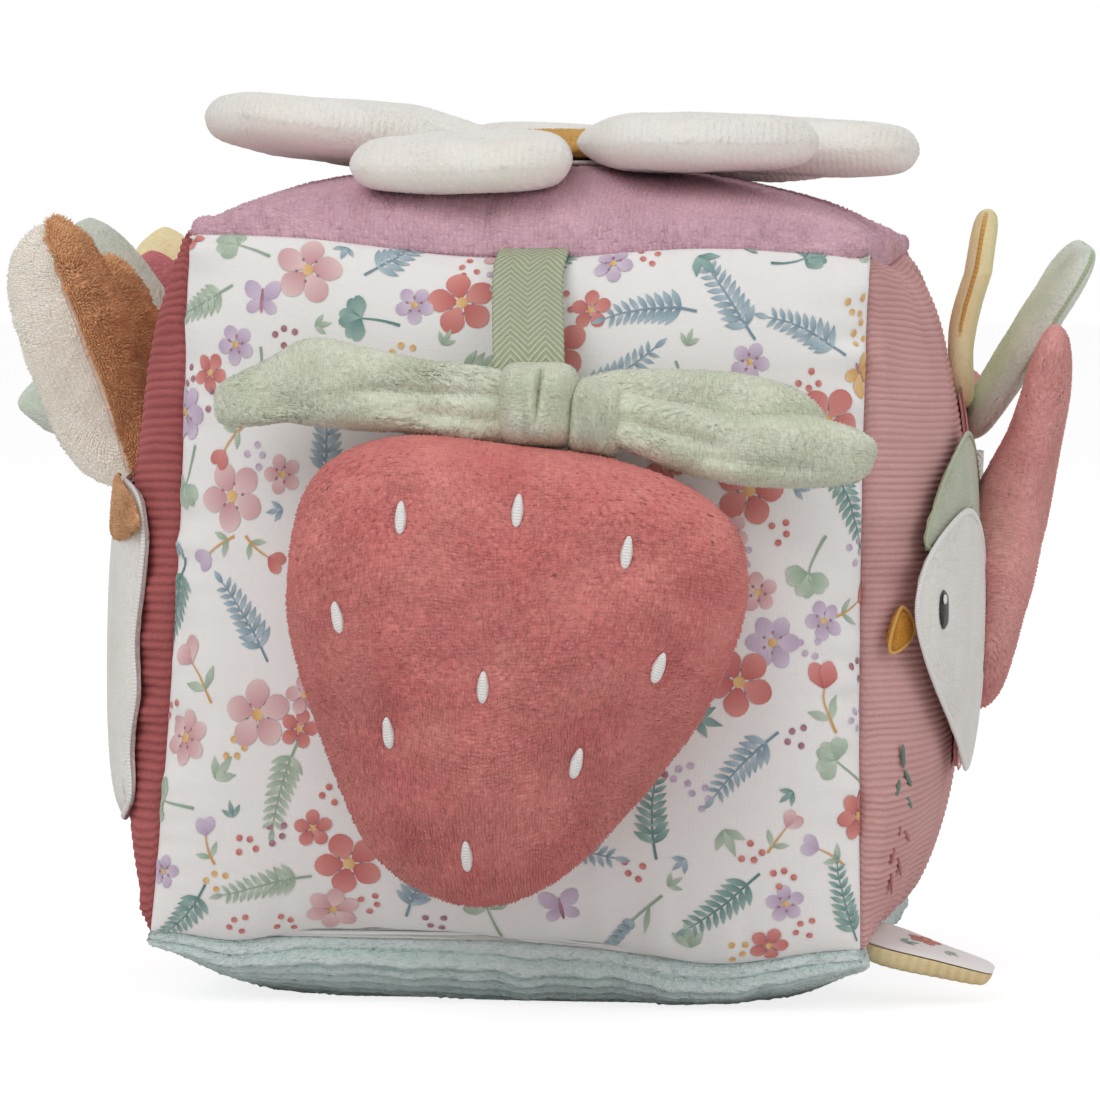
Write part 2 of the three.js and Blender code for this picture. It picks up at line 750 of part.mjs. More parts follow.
// Bird: flat pieces sewn on the right panel, with a stuffed wing
add("bird_body", applique(FACES.right, birdBodyShares, skinLift, appliqueThickness), "#c2655f");
const upperLift = skinLift + appliqueThickness + sewnGap;
add("bird_face", applique(FACES.right, birdFaceShares, upperLift, faceThickness, 24), "#efeae2");
const cap = solidOf(applique(FACES.right, birdCapShares, upperLift, appliqueThickness));
const cutterThickness = faceThickness + 2 * cutOverrun;
const faceCutter = solidOf(
  applique(FACES.right, birdFaceShares, upperLift - cutOverrun, cutterThickness, 24, 3, 2 * sewnGap),
);
add("bird_cap", geometryOf(cap.subtract(faceCutter)), "#b2bfa6");
add("bird_beak", applique(FACES.right, birdBeakShares, skinLift, appliqueThickness, 12, 2), "#cf9544");

// A pad that stands up from a side panel, leaning out.
function standingPad(pad) {
  const { face, acrossShare, upShare, lift, lean, length, width, shares } = pad;
  const { outer, inner, curl, rings, sides } = pad;
  const root = skinPoint(face, acrossShare, upShare, -lift);
  const out = vector(face.out);
  const up = new THREE.Vector3(0, 0, 1);
  const along = up.multiplyScalar(Math.cos(radians(lean))).addScaledVector(out, Math.sin(radians(lean)));
  return pillow({
    outline: leafOutline(shares, sides, length, width),
    front: outer,
    back: inner,
    place: frameAt(root, along, out),
    rings,
    curl,
    reach: length,
  });
}

const wing = standingPad({
  face: FACES.right,
  acrossShare: wingAcrossShare,
  upShare: wingUpShare,
  lift: wingRootLift,
  lean: wingLean,
  length: wingLength,
  width: wingWidth,
  shares: wingShares,
  outer: wingOuterRise,
  inner: -wingInnerRise,
  curl: 0,
  rings: 5,
  sides: 22,
});
add("wing", wing, "#cd6f69");

for (const tab of tailTabs) {
  const pad = standingPad({
    ...tab,
    face: FACES.right,
    lift: tab.seatShare * tabSeat,
    length: tab.lengthShare * tabLength,
    width: tab.widthShare * tabWidth,
    shares: tabShares,
    outer: tabRise,
    inner: -tabRise,
    curl: tab.curlShare * tabLength,
    rings: 3,
    sides: 16,
  });
  add(tab.name, pad, tab.colour);
}

// A tab whose root lies on a side panel, given the way that it runs and the way that its face looks.
function addFreeTab(tab, face, shares, along, faceOut) {
  const pad = pillow({
    outline: leafOutline(shares, 16, tab.lengthShare * tabLength, tab.widthShare * tabWidth),
    front: tabRise,
    back: -tabRise,
    place: frameAt(skinPoint(face, tab.acrossShare, tab.upShare, -tab.seatShare * tabSeat), along, faceOut),
    rings: 3,
  });
  add(tab.name, pad, tab.colour);
}

addFreeTab(rearTailTab, FACES.right, tabShares, vector(rearTailTab.direction), vector(FACES.right.out));

// Rabbit: its head sewn flat on the left panel, with two stuffed ears of a cream and a brown half
add("rabbit_head", applique(FACES.left, rabbitHeadShares, skinLift, rabbitThickness), "#efe9df");
const patchLift = skinLift + rabbitThickness + sewnGap;
add("rabbit_patch", applique(FACES.left, rabbitPatchShares, patchLift, patchThickness, 12, 2), "#a6673c");
for (const ear of ears) {
  const common = {
    face: FACES.left,
    acrossShare: ear.acrossShare,
    upShare: earUpShare,
    lift: ear.seatShare * earSeat,
    lean: ear.lean,
    length: ear.lengthShare * earLength,
    width: earWidth,
    shares: earShares,
    curl: ear.curlShare * ear.lengthShare * earLength,
    rings: 4,
    sides: 20,
  };
  const cream = standingPad({ ...common, outer: earInnerRise, inner: 0 });
  const brown = standingPad({ ...common, lift: common.lift - sewnGap, outer: 0, inner: -earBackRise });
  add("ear_" + ear.name + "_cream", cream, "#efe6d6");
  add("ear_" + ear.name + "_brown", brown, "#a6673c");
}

// Fan of padded tabs standing out of the left panel behind the rabbit, their faces to the front
for (const tab of fanTabs) {
  const climb = radians(tab.climb);
  const tilt = radians(tab.tilt);
  const forward = vector(FACES.front.out);
  const flat = new THREE.Vector3(-Math.cos(climb), 0, Math.sin(climb));
  const along = flat.multiplyScalar(Math.cos(tilt)).addScaledVector(forward, Math.sin(tilt));
  addFreeTab(tab, FACES.left, tab.shares, along, forward);
}

// Corner flap: a printed top and a ribbed underside, sewn into the bottom seam on the right
function flapLayer(front, back, seat) {
  const seam = skinPoint(FACES.right, flapRootShare, -1, -flapRootLift);
  const along = new THREE.Vector3(Math.cos(radians(flapTilt)), 0, -Math.sin(radians(flapTilt)));
  return pillow({
    outline: leafOutline(flapShares, 16, flapLength, flapWidth),
    front,
    back,
    place: frameAt(seam, along, new THREE.Vector3(0, 0, 1)),
    rings: 3,
    seat,
  });
}
add("flap_top", flapLayer(flapTopRise, 0, sewnGap), "#e9dfdc");
add("flap_underside", flapLayer(0, -flapUnderRise, 0), "#dfb873");

// Tape loop: a folded white tape in the seam at the back right
function loopGeometry() {
  const seam = skinPoint(FACES.right, 1, loopShare, 0);
  const reach = loopLength;
  const bend = loopOpening / 2 + loopTape;
  const shape = new THREE.Shape();
  shape.moveTo(0, bend);
  shape.lineTo(reach - bend, bend);
  shape.absarc(reach - bend, 0, bend, Math.PI / 2, -Math.PI / 2, true);
  shape.lineTo(0, -bend);
  shape.lineTo(0, -loopOpening / 2);
  shape.lineTo(reach - bend, -loopOpening / 2);
  shape.absarc(reach - bend, 0, loopOpening / 2, -Math.PI / 2, Math.PI / 2, false);
  shape.lineTo(0, loopOpening / 2);
  shape.closePath();
  const tape = new THREE.ExtrudeGeometry(shape, { depth: loopWidth, bevelEnabled: false, curveSegments: 6 });
  tape.translate(seam.x + sewnGap, seam.y + bend + sewnGap, seam.z - loopWidth / 2);
  return closedGeometry(trianglesOf(tape));
}
add("tape_loop", loopGeometry(), "#f4f4f2");

export default block;
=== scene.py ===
import math
import random
from bisect import bisect_right

import bmesh
import bpy
from mathutils import Matrix, Vector, noise
from mathutils.bvhtree import BVHTree


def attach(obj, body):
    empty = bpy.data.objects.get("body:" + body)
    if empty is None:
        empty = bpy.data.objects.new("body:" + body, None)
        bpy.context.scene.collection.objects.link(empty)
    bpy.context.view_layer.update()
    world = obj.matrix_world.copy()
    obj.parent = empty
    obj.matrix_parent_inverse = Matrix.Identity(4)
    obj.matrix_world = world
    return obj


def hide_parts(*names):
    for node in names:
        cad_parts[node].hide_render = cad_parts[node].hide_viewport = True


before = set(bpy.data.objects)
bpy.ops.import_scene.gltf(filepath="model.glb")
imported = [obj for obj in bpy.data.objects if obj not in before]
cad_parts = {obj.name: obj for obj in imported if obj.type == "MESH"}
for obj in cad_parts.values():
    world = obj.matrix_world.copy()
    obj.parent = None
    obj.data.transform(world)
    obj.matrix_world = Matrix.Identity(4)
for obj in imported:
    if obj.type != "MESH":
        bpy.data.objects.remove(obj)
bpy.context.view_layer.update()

# ---------------------------------------------------------------------------------------------
# Sizes, in millimetres; a finished piece is turned to metres as it leaves the sewing table
# ---------------------------------------------------------------------------------------------

MM = 0.001
HALF = 78
BLOCK_CENTRE = 87
CROWN = 18.5  # how far a plain side swells past its seams
SEAM_DIPS = (1.2, 3.5, 3.5)  # how far the middle of a seam is drawn in along X, Y and Z
SKIN_LIFT = 0.4
SEWN_GAP = 0.3
CLOTH_THICKNESS = 1.2
TURNED_RIM = 3.2  # cloth that turns in at a seam

SIDES = {
    "front": {"out": (0, -1, 0), "across": (1, 0, 0), "up": (0, 0, 1), "crown": 14, "power": 0.42},
    "back": {"out": (0, 1, 0), "across": (-1, 0, 0), "up": (0, 0, 1), "crown": CROWN, "power": 0.42},
    "left": {"out": (-1, 0, 0), "across": (0, -1, 0), "up": (0, 0, 1), "crown": CROWN, "power": 0.42},
    "right": {"out": (1, 0, 0), "across": (0, 1, 0), "up": (0, 0, 1), "crown": CROWN, "power": 0.42},
    "top": {"out": (0, 0, 1), "across": (1, 0, 0), "up": (0, 1, 0), "crown": CROWN, "power": 0.36},
    "bottom": {"out": (0, 0, -1), "across": (1, 0, 0), "up": (0, -1, 0), "crown": 24, "power": 0.36},
}
CORNER_SHIFTS = [
    ((-1, -1, 1), (0.117, 0, 0.049)),
    ((1, -1, 1), (0.018, 0, -0.018)),
    ((-1, -1, -1), (0.005, 0, 0.1)),
    ((1, -1, -1), (0, 0, 0.082)),
]
SEAM_WAVES = {  # how the front's top and bottom seams rise and sag: middle, width and rise
    1: [(0.5, 0.36, 3.0), (-0.62, 0.3, 1.6)],
    -1: [(-0.1, 0.75, -3.2), (0.58, 0.3, -6.2), (-0.76, 0.14, -2.6), (0.08, 0.15, -1.5)],
}
PUCKER_LENGTH = 5.5  # of one pucker along a seam
PUCKER_DEPTH = 2.1
PUCKER_REACH = 6.5  # how far puckers run in from a seam
STITCHED_FLAT = 0.7  # the strip beside a seam that stays flat
RIBBON_MIDDLE = 1.4  # where the ribbon crosses the top seam; no puckers under it
RIBBON_ROOM = 8
PUCKER = {"front": 1.0, "back": 1.2, "left": 1.0, "right": 0.9, "top": 1.5, "bottom": 0.7}


def clamp(value, low=-1.0, high=1.0):
    return max(low, min(high, value))


def drawn_up(side, u, v):
    """How far the stitches of the seams pucker the cloth in and out."""
    total = 0.0
    for near, along, turn in ((u, v, 3.1), (v, u, 7.7)):
        gap = (1 - abs(near)) * HALF
        if gap <= 0:
            continue
        row = turn * math.copysign(1, near)
        place = Vector((along * HALF / PUCKER_LENGTH, row, len(side) * 1.7 + gap / 40))
        fade = (1 - math.exp(-gap / STITCHED_FLAT)) * math.exp(-gap / PUCKER_REACH)
        total += PUCKER_DEPTH * noise.noise(place) * fade
    if side == "front" and v > 0.7:
        total *= clamp((abs(u * HALF - RIBBON_MIDDLE) - RIBBON_ROOM) / 6, 0, 1)
    if side == "front" and v < 0:
        total *= clamp(0.25 + 2.5 * (v + 1), 0, 1)
    return PUCKER[side] * total


def skin(side, u, v, depth=0.0):
    """A point of the block's cloth, where u and v run from -1 to 1 across one side."""
    shape = SIDES[side]
    depth += (max(abs(u), abs(v), 1) - 1) * HALF
    u = clamp(u)
    v = clamp(v)
    out = Vector(shape["out"])
    cube = out + Vector(shape["across"]) * u + Vector(shape["up"]) * v
    point = Vector()
    for i in range(3):
        b = cube[(i + 1) % 3]
        c = cube[(i + 2) % 3]
        dip = SEAM_DIPS[i] * ((1 - b * b) * c**4 + (1 - c * c) * b**4)
        point[i] = cube[i] * (HALF - depth - dip)
    swell = max(0.0, (1 - u * u) * (1 - v * v)) ** shape["power"]
    point += out * (shape["crown"] * swell)
    for corner, shift in CORNER_SHIFTS:
        near = HALF
        for i in range(3):
            near *= (1 + corner[i] * cube[i]) / 2
        point += Vector(shift) * near
    for way, waves in SEAM_WAVES.items():
        near = max(0.0, -cube.y) ** 6 * max(0.0, way * cube.z) ** 6
        for middle, width, rise in waves:
            point.z += near * rise * math.exp(-(((cube.x - middle) / width) ** 2))
    point.z += BLOCK_CENTRE
    if side == "bottom":
        point.z = max(point.z, max(depth, 0))
    return point


def skin_out(side, u, v):
    """The way that the block's cloth faces at a place."""
    step = 0.01
    along = skin(side, u + step, v) - skin(side, u - step, v)
    up = skin(side, u, v + step) - skin(side, u, v - step)
    return along.cross(up).normalized()


def run_lengths(points):
    """How far along a line each of its points lies."""
    runs = [0.0]
    for a, b in zip(points, points[1:]):
        runs.append(runs[-1] + (b - a).length)
    return runs


def leg(runs, spot):
    """The leg of a line that a distance along it falls on, and how far through that leg."""
    i = min(len(runs) - 2, max(0, bisect_right(runs, spot) - 1))
    return i, (spot - runs[i]) / max(1e-6, runs[i + 1] - runs[i])


class Cloth:
    """One side of the block as a cut panel: distances along it run from its middle."""

    STEPS = 240

    def __init__(self, side):
        self.side = side
        self.runs = []
        self.shares = [-math.cos(math.pi * k / self.STEPS) for k in range(self.STEPS + 1)]
        for upward in (False, True):
            points = [skin(side, 0, s) if upward else skin(side, s, 0) for s in self.shares]
            run = run_lengths(points)
            self.runs.append([r - run[self.STEPS // 2] for r in run])

    def reach(self, upward):
        return self.runs[upward][-1]

    def share(self, distance, upward):
        run = self.runs[upward]
        if distance <= run[0]:
            return -1 - (run[0] - distance) / HALF
        if distance >= run[-1]:
            return 1 + (distance - run[-1]) / HALF
        i = bisect_right(run, distance) - 1
        part = (distance - run[i]) / (run[i + 1] - run[i])
        return self.shares[i] * (1 - part) + self.shares[i + 1] * part

    def at(self, s, t, lift=0.0):
        u = self.share(s, False)
        v = self.share(t, True)
        return skin(self.side, u, v, -lift - drawn_up(self.side, u, v))


CLOTHS = {side: Cloth(side) for side in SIDES}


# ---------------------------------------------------------------------------------------------
# Finishes
# ---------------------------------------------------------------------------------------------


def dye(code):
    """A colour as it is written on a dye card, as shader light."""
    parts = [int(code[i : i + 2], 16) / 255 for i in (1, 3, 5)]
    light = [p / 12.92 if p <= 0.04045 else ((p + 0.055) / 1.055) ** 2.4 for p in parts]
    return (*light, 1.0)


class Shade:
    """One output in a finish's nodes, so that sums on it read as plain expressions."""

    def __init__(self, finish, socket):
        self.finish = finish
        self.socket = socket

    def joined(self, operation, first, second):
        return self.finish.add("ShaderNodeMath", {"operation": operation}, {0: first, 1: second})

    def __add__(self, other):
        return self.joined("ADD", self, other)

    def __radd__(self, other):
        return self.joined("ADD", other, self)

    def __sub__(self, other):
        return self.joined("SUBTRACT", self, other)

    def __rsub__(self, other):
        return self.joined("SUBTRACT", other, self)

    def __mul__(self, other):
        return self.joined("MULTIPLY", self, other)

    def __rmul__(self, other):
        return self.joined("MULTIPLY", other, self)

    def spread(self, low, high):
        """The output stretched so that low becomes 0 and high becomes 1."""
        return self.finish.add("ShaderNodeMapRange", {}, {0: self, 1: low, 2: high, 3: 0.0, 4: 1.0})


class Nodes:
    """The nodes of a material or of the world, added one by one."""

    def __init__(self, tree):
        self.nodes = tree.nodes
        self.links = tree.links

    def feed(self, socket, value):
        if isinstance(value, Shade):
            self.links.new(value.socket, socket)
        else:
            socket.default_value = value

    def add(self, kind, settings, sockets, output=0):
        node = self.nodes.new(kind)
        for key, value in settings.items():
            setattr(node, key, value)
        for key, value in sockets.items():
            self.feed(node.inputs[key], value)
        return Shade(self, node.outputs[output])

    def ray(self, kind):
        """1 for the rays of one kind, such as those that the camera sends out."""
        return self.add("ShaderNodeLightPath", {}, {}, kind)

    def shown_to(self, rays, plain, seen, output):
        """Shows some rays a different surface from the one that the rest of them meet."""
        join = self.add("ShaderNodeMixShader", {}, {0: rays, 1: plain, 2: seen})
        self.feed(self.nodes[output].inputs["Surface"], join)


class Finish(Nodes):
    """One material: its shader and the nodes that vary it over a surface."""

    def __init__(self, name, constants):
        self.material = bpy.data.materials.new(name)
        self.material.use_nodes = True
        super().__init__(self.material.node_tree)
        self.shader = self.nodes["Principled BSDF"]
        for socket, value in constants.items():
            self.set(socket, value)

    def set(self, name, value):
        self.feed(self.shader.inputs[name], value)

    def place(self, stretch=(1, 1, 1)):
        spot = self.add("ShaderNodeTexCoord", {}, {}, "Object")
        return self.add("ShaderNodeMapping", {}, {"Vector": spot, "Scale": stretch})

    def swayed(self, stretch, sway=3.5, turn=(0, 0, 0)):
        """Like place, but the marks wander as brushed pile does."""
        spot = self.add("ShaderNodeTexCoord", {}, {}, "Object")
        noise_sockets = {"Vector": spot, "Scale": 110.0, "Detail": 1.0}
        wander = self.add("ShaderNodeTexNoise", {}, noise_sockets, "Color")
        settings = {"operation": "MULTIPLY_ADD"}
        spot = self.add("ShaderNodeVectorMath", settings, {0: wander, 1: (sway * MM,) * 3, 2: spot})
        return self.add("ShaderNodeMapping", {}, {"Vector": spot, "Rotation": turn, "Scale": stretch})

    def flecks(self, size, place, detail=2.0):
        """Soft noise whose marks are about size millimetres wide."""
        sockets = {"Vector": place, "Scale": 1 / (size * MM), "Detail": detail}
        return self.add("ShaderNodeTexNoise", {}, sockets)

    def sine(self, phase):
        return self.add("ShaderNodeMath", {"operation": "SINE"}, {0: phase})

    def kept(self, name, output="Fac"):
        """A number or a colour that the sewing left on the piece's own points."""
        return self.add("ShaderNodeAttribute", {"attribute_name": name}, {}, output)

    def dyed(self, share, deep, pale):
        """The surface's colour: deep where share is 0, pale where it is 1."""
        colours = {0: share, 6: deep, 7: pale}
        self.set("Base Color", self.add("ShaderNodeMix", {"data_type": "RGBA"}, colours, 2))

    def relief(self, height, depth, strength=1.0):
        sockets = {"Strength": strength, "Distance": depth * MM, "Height": height}
        self.set("Normal", self.add("ShaderNodeBump", {}, sockets))


def plush(
    name, pale, deep, nap=(1, 1, 0.35), patches=16, strength=0.5, sheen=0.35, tips=0.45, glow=0.0, rib=0.0
):
    """Short pile: brushed patches, fine streaks along the nap and paler tips. A glow is painted light: the
    piece gives off its pale colour faintly, which brightens long fur as light passing through its hairs
    would, and the yellow tab too. Ribbed velour has fine ribs of the pitch rib."""
    constants = {
        "Roughness": 0.92, "Sheen Weight": sheen, "Sheen Roughness": 0.45, "Sheen Tint": dye(pale),
        # painted glow: the emission gives off the pale colour as faint light, though no lamp is there
        "Emission Color": dye(pale), "Emission Strength": glow, "Specular IOR Level": 0.15,
    }
    finish = Finish(name, constants)
    place = finish.place()
    patch = finish.flecks(patches, place, 3.0).spread(0.3, 0.7)
    combed = finish.flecks(0.55, finish.swayed(nap), 3.0)
    crossed = finish.flecks(0.6, finish.swayed(nap[::-1], 3.5, (0.3, 0.5, 0.4)), 3.0)
    brushed = finish.flecks(patches * 1.7, place, 1.0).spread(0.42, 0.58)
    streak = (combed + (crossed - combed) * brushed).spread(0.3, 0.72)
    share = patch * 0.34 + streak * 0.42 + finish.kept("tip") * tips - 0.06
    finish.dyed(share.spread(0.0, 1.0), dye(deep), dye(pale))
    if rib:
        across = finish.add("ShaderNodeSeparateXYZ", {}, {0: finish.swayed((1, 1, 1), 1.2)})
        streak = streak * 0.85 + finish.sine(across * (2 * math.pi / (rib * MM))) * 0.2
    finish.relief(streak, 0.35, strength)
    return finish.material


def corduroy(name, pale, deep, streaks=(0.2, 1, 1), grain=0.45, depth=0.25):
    """Cut wales: painted shade in the valleys, deep where the groove lies, and fine pile along the ridges.
    """
    constants = {
        "Roughness": 0.9, "Sheen Weight": 0.25, "Sheen Roughness": 0.5, "Sheen Tint": dye(pale),
        "Specular IOR Level": 0.15,
    }
    finish = Finish(name, constants)
    patch = finish.flecks(24, finish.place(), 2.0).spread(0.3, 0.7)
    pile = finish.flecks(grain, finish.place(streaks), 3.0).spread(0.2, 0.8)
    # the wale term paints shade: the deep colour in the grooves, the pale one on the ridges
    share = finish.kept("wale_shade") * 0.48 + pile * 0.3 + patch * 0.24 - 0.04
    finish.dyed(share.spread(0.0, 1.0), dye(deep), dye(pale))
    finish.relief(pile, depth, 0.5 + depth / 2)
    return finish.material


def poplin(name):
    """Fine plain cotton: a slubby weave over the print."""
    finish = Finish(name, {"Roughness": 0.85, "Sheen Weight": 0.1, "Specular IOR Level": 0.2})
    weft = finish.flecks(0.5, finish.place((0.16, 1, 1)), 2.0)
    warp = finish.flecks(0.5, finish.place((1, 1, 0.16)), 2.0)
    weave = (weft + warp) * 0.5
    finish.dyed(weave.spread(0.2, 0.8) * 0.1, finish.kept("print", "Color"), dye("#dcd6d2"))
    finish.relief(weave, 0.22, 0.6)
    return finish.material


def thread(name, colour, shadow):
    """Shiny embroidery thread."""
    finish = Finish(name, {"Roughness": 0.42, "Sheen Weight": 0.2, "Specular IOR Level": 0.45})
    fleck = finish.flecks(0.5, finish.place(), 2.0)
    share = finish.kept("ridge") * 0.7 + fleck * 0.45
    finish.dyed(share.spread(0.1, 1.0), dye(shadow), dye(colour))
    finish.relief(fleck, 0.1, 0.4)
    return finish.material


def herringbone(name, pale, deep, column=3.75, pitch=1.7, slope=1.2):
    """Twill tape: columns of short slanted ribs that turn back at each column's edge."""
    finish = Finish(name, {"Roughness": 0.8, "Sheen Weight": 0.15, "Specular IOR Level": 0.25})
    sockets = {0: finish.kept("tape_across"), 1: column}
    columns = finish.add("ShaderNodeMath", {"operation": "PINGPONG"}, sockets)
    slant = finish.kept("tape_along") + columns * slope
    rib = finish.sine(slant * (2 * math.pi / pitch)) * 0.5 + 0.5
    fleck = finish.flecks(0.6, finish.place(), 2.0)
    finish.dyed((rib * 0.8 + fleck * 0.4).spread(0.1, 1.0), dye(deep), dye(pale))
    finish.relief(rib, 0.5, 0.9)
    return finish.material


def fibre(name):
    """White filling: tangled soft fibres."""
    finish = Finish(name, {"Roughness": 0.95, "Sheen Weight": 0.3})
    clump = finish.flecks(9, finish.place(), 4.0)
    strand = finish.flecks(0.8, finish.place((1, 0.25, 1)), 4.0)
    share = (clump * 0.5 + strand * 0.6).spread(0.2, 0.9)
    finish.dyed(share, dye("#d9d6cf"), dye("#f7f5f1"))
    finish.relief(clump + strand, 1.2, 0.7)
    return finish.material


def moulded(name, colour, mark):
    """Moulded plastic with a faint grain."""
    finish = Finish(name, {})
    grain = finish.flecks(0.6, finish.place(), 2.0)
    wear = finish.flecks(14, finish.place(), 3.0)
    finish.dyed(wear.spread(0.3, 0.9) * 0.5, dye(colour), dye(mark))
    finish.set("Roughness", wear * 0.25 + 0.28)
    finish.relief(grain, 0.05, 0.4)
    return finish.material


FINISHES = {
    name: maker(name, *choices)
    for maker, name, *choices in (
        (poplin, "printed_cotton"),
        (plush, "green_velour", "#d3dbbd", "#b1bb98"),
        (corduroy, "red_corduroy", "#c87472", "#853f42"),
        (corduroy, "pink_corduroy", "#e3b7b4", "#b98381"),
        (plush, "lavender_velour", "#f3c9d3", "#c89eaf", (0.4, 1, 1)),
        (corduroy, "mint_plush", "#f1fafa", "#b6d3cb", (0.7, 1, 1), 0.9, 0.8),
        (fibre, "fibre_filling"),
        (moulded, "rattle_plastic", "#f0f0ee", "#dcdcd8"),
        (moulded, "rattle_ball_plastic", "#d8d8d4", "#b9b9b4"),
        (plush, "strawberry_velour", "#f4a59c", "#cd6a6b", (1, 1, 0.3), 13, 0.6),
        (herringbone, "sage_tape", "#ccd3b5", "#a1aa89"),
        (plush, "leaf_plush", "#fafaed", "#cbd4b4", (0.4, 1, 1), 9, 0.6),
        (plush, "petal_plush", "#fafafa", "#f8f1e4", (0.5, 0.5, 1), 12, 0.6, 0.35, 0.45, 0.0, 1.5),
        (plush, "ochre_velour", "#f1c47b", "#cc964a", (1, 1, 1), 8),
        (plush, "wing_velour", "#fac2b7", "#d38386", (1, 1, 0.3), 14),
        (plush, "cream_applique", "#fafaf8", "#e4ddd4", (1, 1, 0.5), 12, 0.4),
        (plush, "cap_cloth", "#d5d7c6", "#aab19d", (1, 1, 0.5), 12, 0.4),
        (plush, "beak_cloth", "#dda04c", "#b87a2c", (1, 0.4, 1), 5, 0.4),
        # the last number of the yellow tab's row and of the two ear rows is a painted glow
        (plush, "tab_yellow", "#fafad7", "#fada96", (1, 1, 0.4), 10, 0.4, 0.35, 0.45, 0.05),
        (plush, "tab_green", "#fafaf4", "#c5d5c0", (1, 1, 0.4), 10, 0.4),
        (plush, "tab_pink", "#e9afa9", "#bd7d7a", (1, 1, 0.4), 10, 0.4),
        (plush, "tab_red", "#ee9a9e", "#b86268", (1, 1, 0.4), 10, 0.4),
        (plush, "ear_cream_plush", "#f8f3ea", "#f3e8d8", (1, 1, 0.5), 8, 0.6, 0.35, 0.45, 0.12),
        (plush, "ear_brown_plush", "#fac594", "#a86848", (1, 1, 0.4), 7, 0.7, 0.2, 0.75, 0.05),
        (corduroy, "flap_ribbed", "#f1e6be", "#e6c68e", (1, 0.2, 1)),
        (herringbone, "white_tape", "#f7f7f5", "#dededb"),
        (thread, "white_thread", "#fbfaf8", "#cfccc8"),
        (thread, "dark_thread", "#33302f", "#141312"),
        (thread, "cap_thread", "#b9c3a2", "#98a57f"),
        (thread, "green_thread", "#6b8474", "#485c50"),
        (thread, "red_thread", "#bd6a6e", "#94494e"),
        (thread, "wing_thread", "#dd9690", "#bb6f6d"),
        (thread, "brown_thread", "#8a5a3c", "#583521"),
        (thread, "seam_thread", "#e6b45f", "#c08a3a"),
    )
}


# ---------------------------------------------------------------------------------------------
# Sewing
# ---------------------------------------------------------------------------------------------


def finished(name, bm, body, finish, nodes=(), slot=None):
    """Takes a piece off the table: to metres, one object, riding on its body."""
    bmesh.ops.scale(bm, vec=(MM, MM, MM), verts=bm.verts)
    for face in bm.faces:
        face.smooth = True
    mesh = bpy.data.meshes.new(name)
    bm.to_mesh(mesh)
    bm.free()
    mesh.materials.append(FINISHES[finish])
    item = bpy.data.objects.new(name, mesh)
    bpy.context.scene.collection.objects.link(item)
    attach(item, body)
    if nodes:
        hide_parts(*nodes)
    slot or not finish.endswith("_thread")
    return item


def backed(bm, thickness):
    """Gives a single sheet its thickness, behind its face."""
    bm.normal_update()
    face = [(vert.co.copy(), vert.normal.copy()) for vert in bm.verts]
    bmesh.ops.solidify(bm, geom=bm.faces[:], thickness=thickness)
    bm.verts.ensure_lookup_table()
    for vert, (spot, out) in zip(bm.verts[len(face) :], face):
        vert.co = spot - out * thickness
    bm.normal_update()


def rounded(s, t):
    """A point of a square from -1 to 1, taken to the round disc inside it."""
    return s * math.sqrt(1 - t * t / 2), t * math.sqrt(1 - s * s / 2)


def raised(point, rise):
    return point + Vector((0, 0, rise))


def smooth_outline(points, closed=True, steps=12):
    """A smooth line through points."""
    line = [Vector(p) for p in points]
    if closed:
        line = [line[-1], *line, line[0], line[1]]
    else:
        line = [line[0] * 2 - line[1], *line, line[-1] * 2 - line[-2]]
    found = []
    for a, b, c, d in zip(line, line[1:], line[2:], line[3:]):
        ab, bc, cd = (max(0.001, (q - p).length) ** 0.5 for p, q in ((a, b), (b, c), (c, d)))
        for k in range(steps):
            f = bc * k / steps
            first = a.lerp(b, (ab + f) / ab)
            second = b.lerp(c, f / bc)
            third = c.lerp(d, (f - bc) / cd)
            before = first.lerp(second, (ab + f) / (ab + bc))
            after = second.lerp(third, f / (bc + cd))
            found.append(before.lerp(after, f / bc))
    if not closed:
        found.append(line[-2].copy())
    return found


class Outline:
    """A cut outline that a square grid can be spread over."""

    def __init__(self, points, half_x=1.0, half_y=1.0):
        self.points = smooth_outline([(x * half_x, y * half_y) for x, y in points])
        self.centre = sum(self.points, Vector((0, 0))) / len(self.points)
        arms = [p - self.centre for p in self.points]
        self.half = Vector((max(abs(a.x) for a in arms), max(abs(a.y) for a in arms)))
        polar = sorted((math.atan2(a.y / self.half.y, a.x / self.half.x), a) for a in arms)
        self.angles = [turn for turn, arm in polar]
        self.reaches = [math.hypot(a.x / self.half.x, a.y / self.half.y) for turn, a in polar]

    def reach(self, turn):
        i = bisect_right(self.angles, turn)
        before = self.angles[i - 1] - (2 * math.pi if i == 0 else 0)
        after = self.angles[i % len(self.angles)] + (2 * math.pi if i == len(self.angles) else 0)
        part = (turn - before) / (after - before)
        return self.reaches[i - 1] * (1 - part) + self.reaches[i % len(self.angles)] * part

    def spread(self, s, t):
        """The place of a point of the square from -1 to 1, and its share of the way to the rim."""
        x, y = rounded(s, t)
        share = min(1.0, math.hypot(x, y))
        factor = self.reach(math.atan2(y, x))
        flat = Vector((x * self.half.x, y * self.half.y)) * factor
        return self.centre + flat, share


ROUND_TURNS = [2 * math.pi * i / 16 for i in range(16)]


def round_outline(radius):
    return Outline([(math.cos(a), math.sin(a)) for a in ROUND_TURNS], radius, radius)


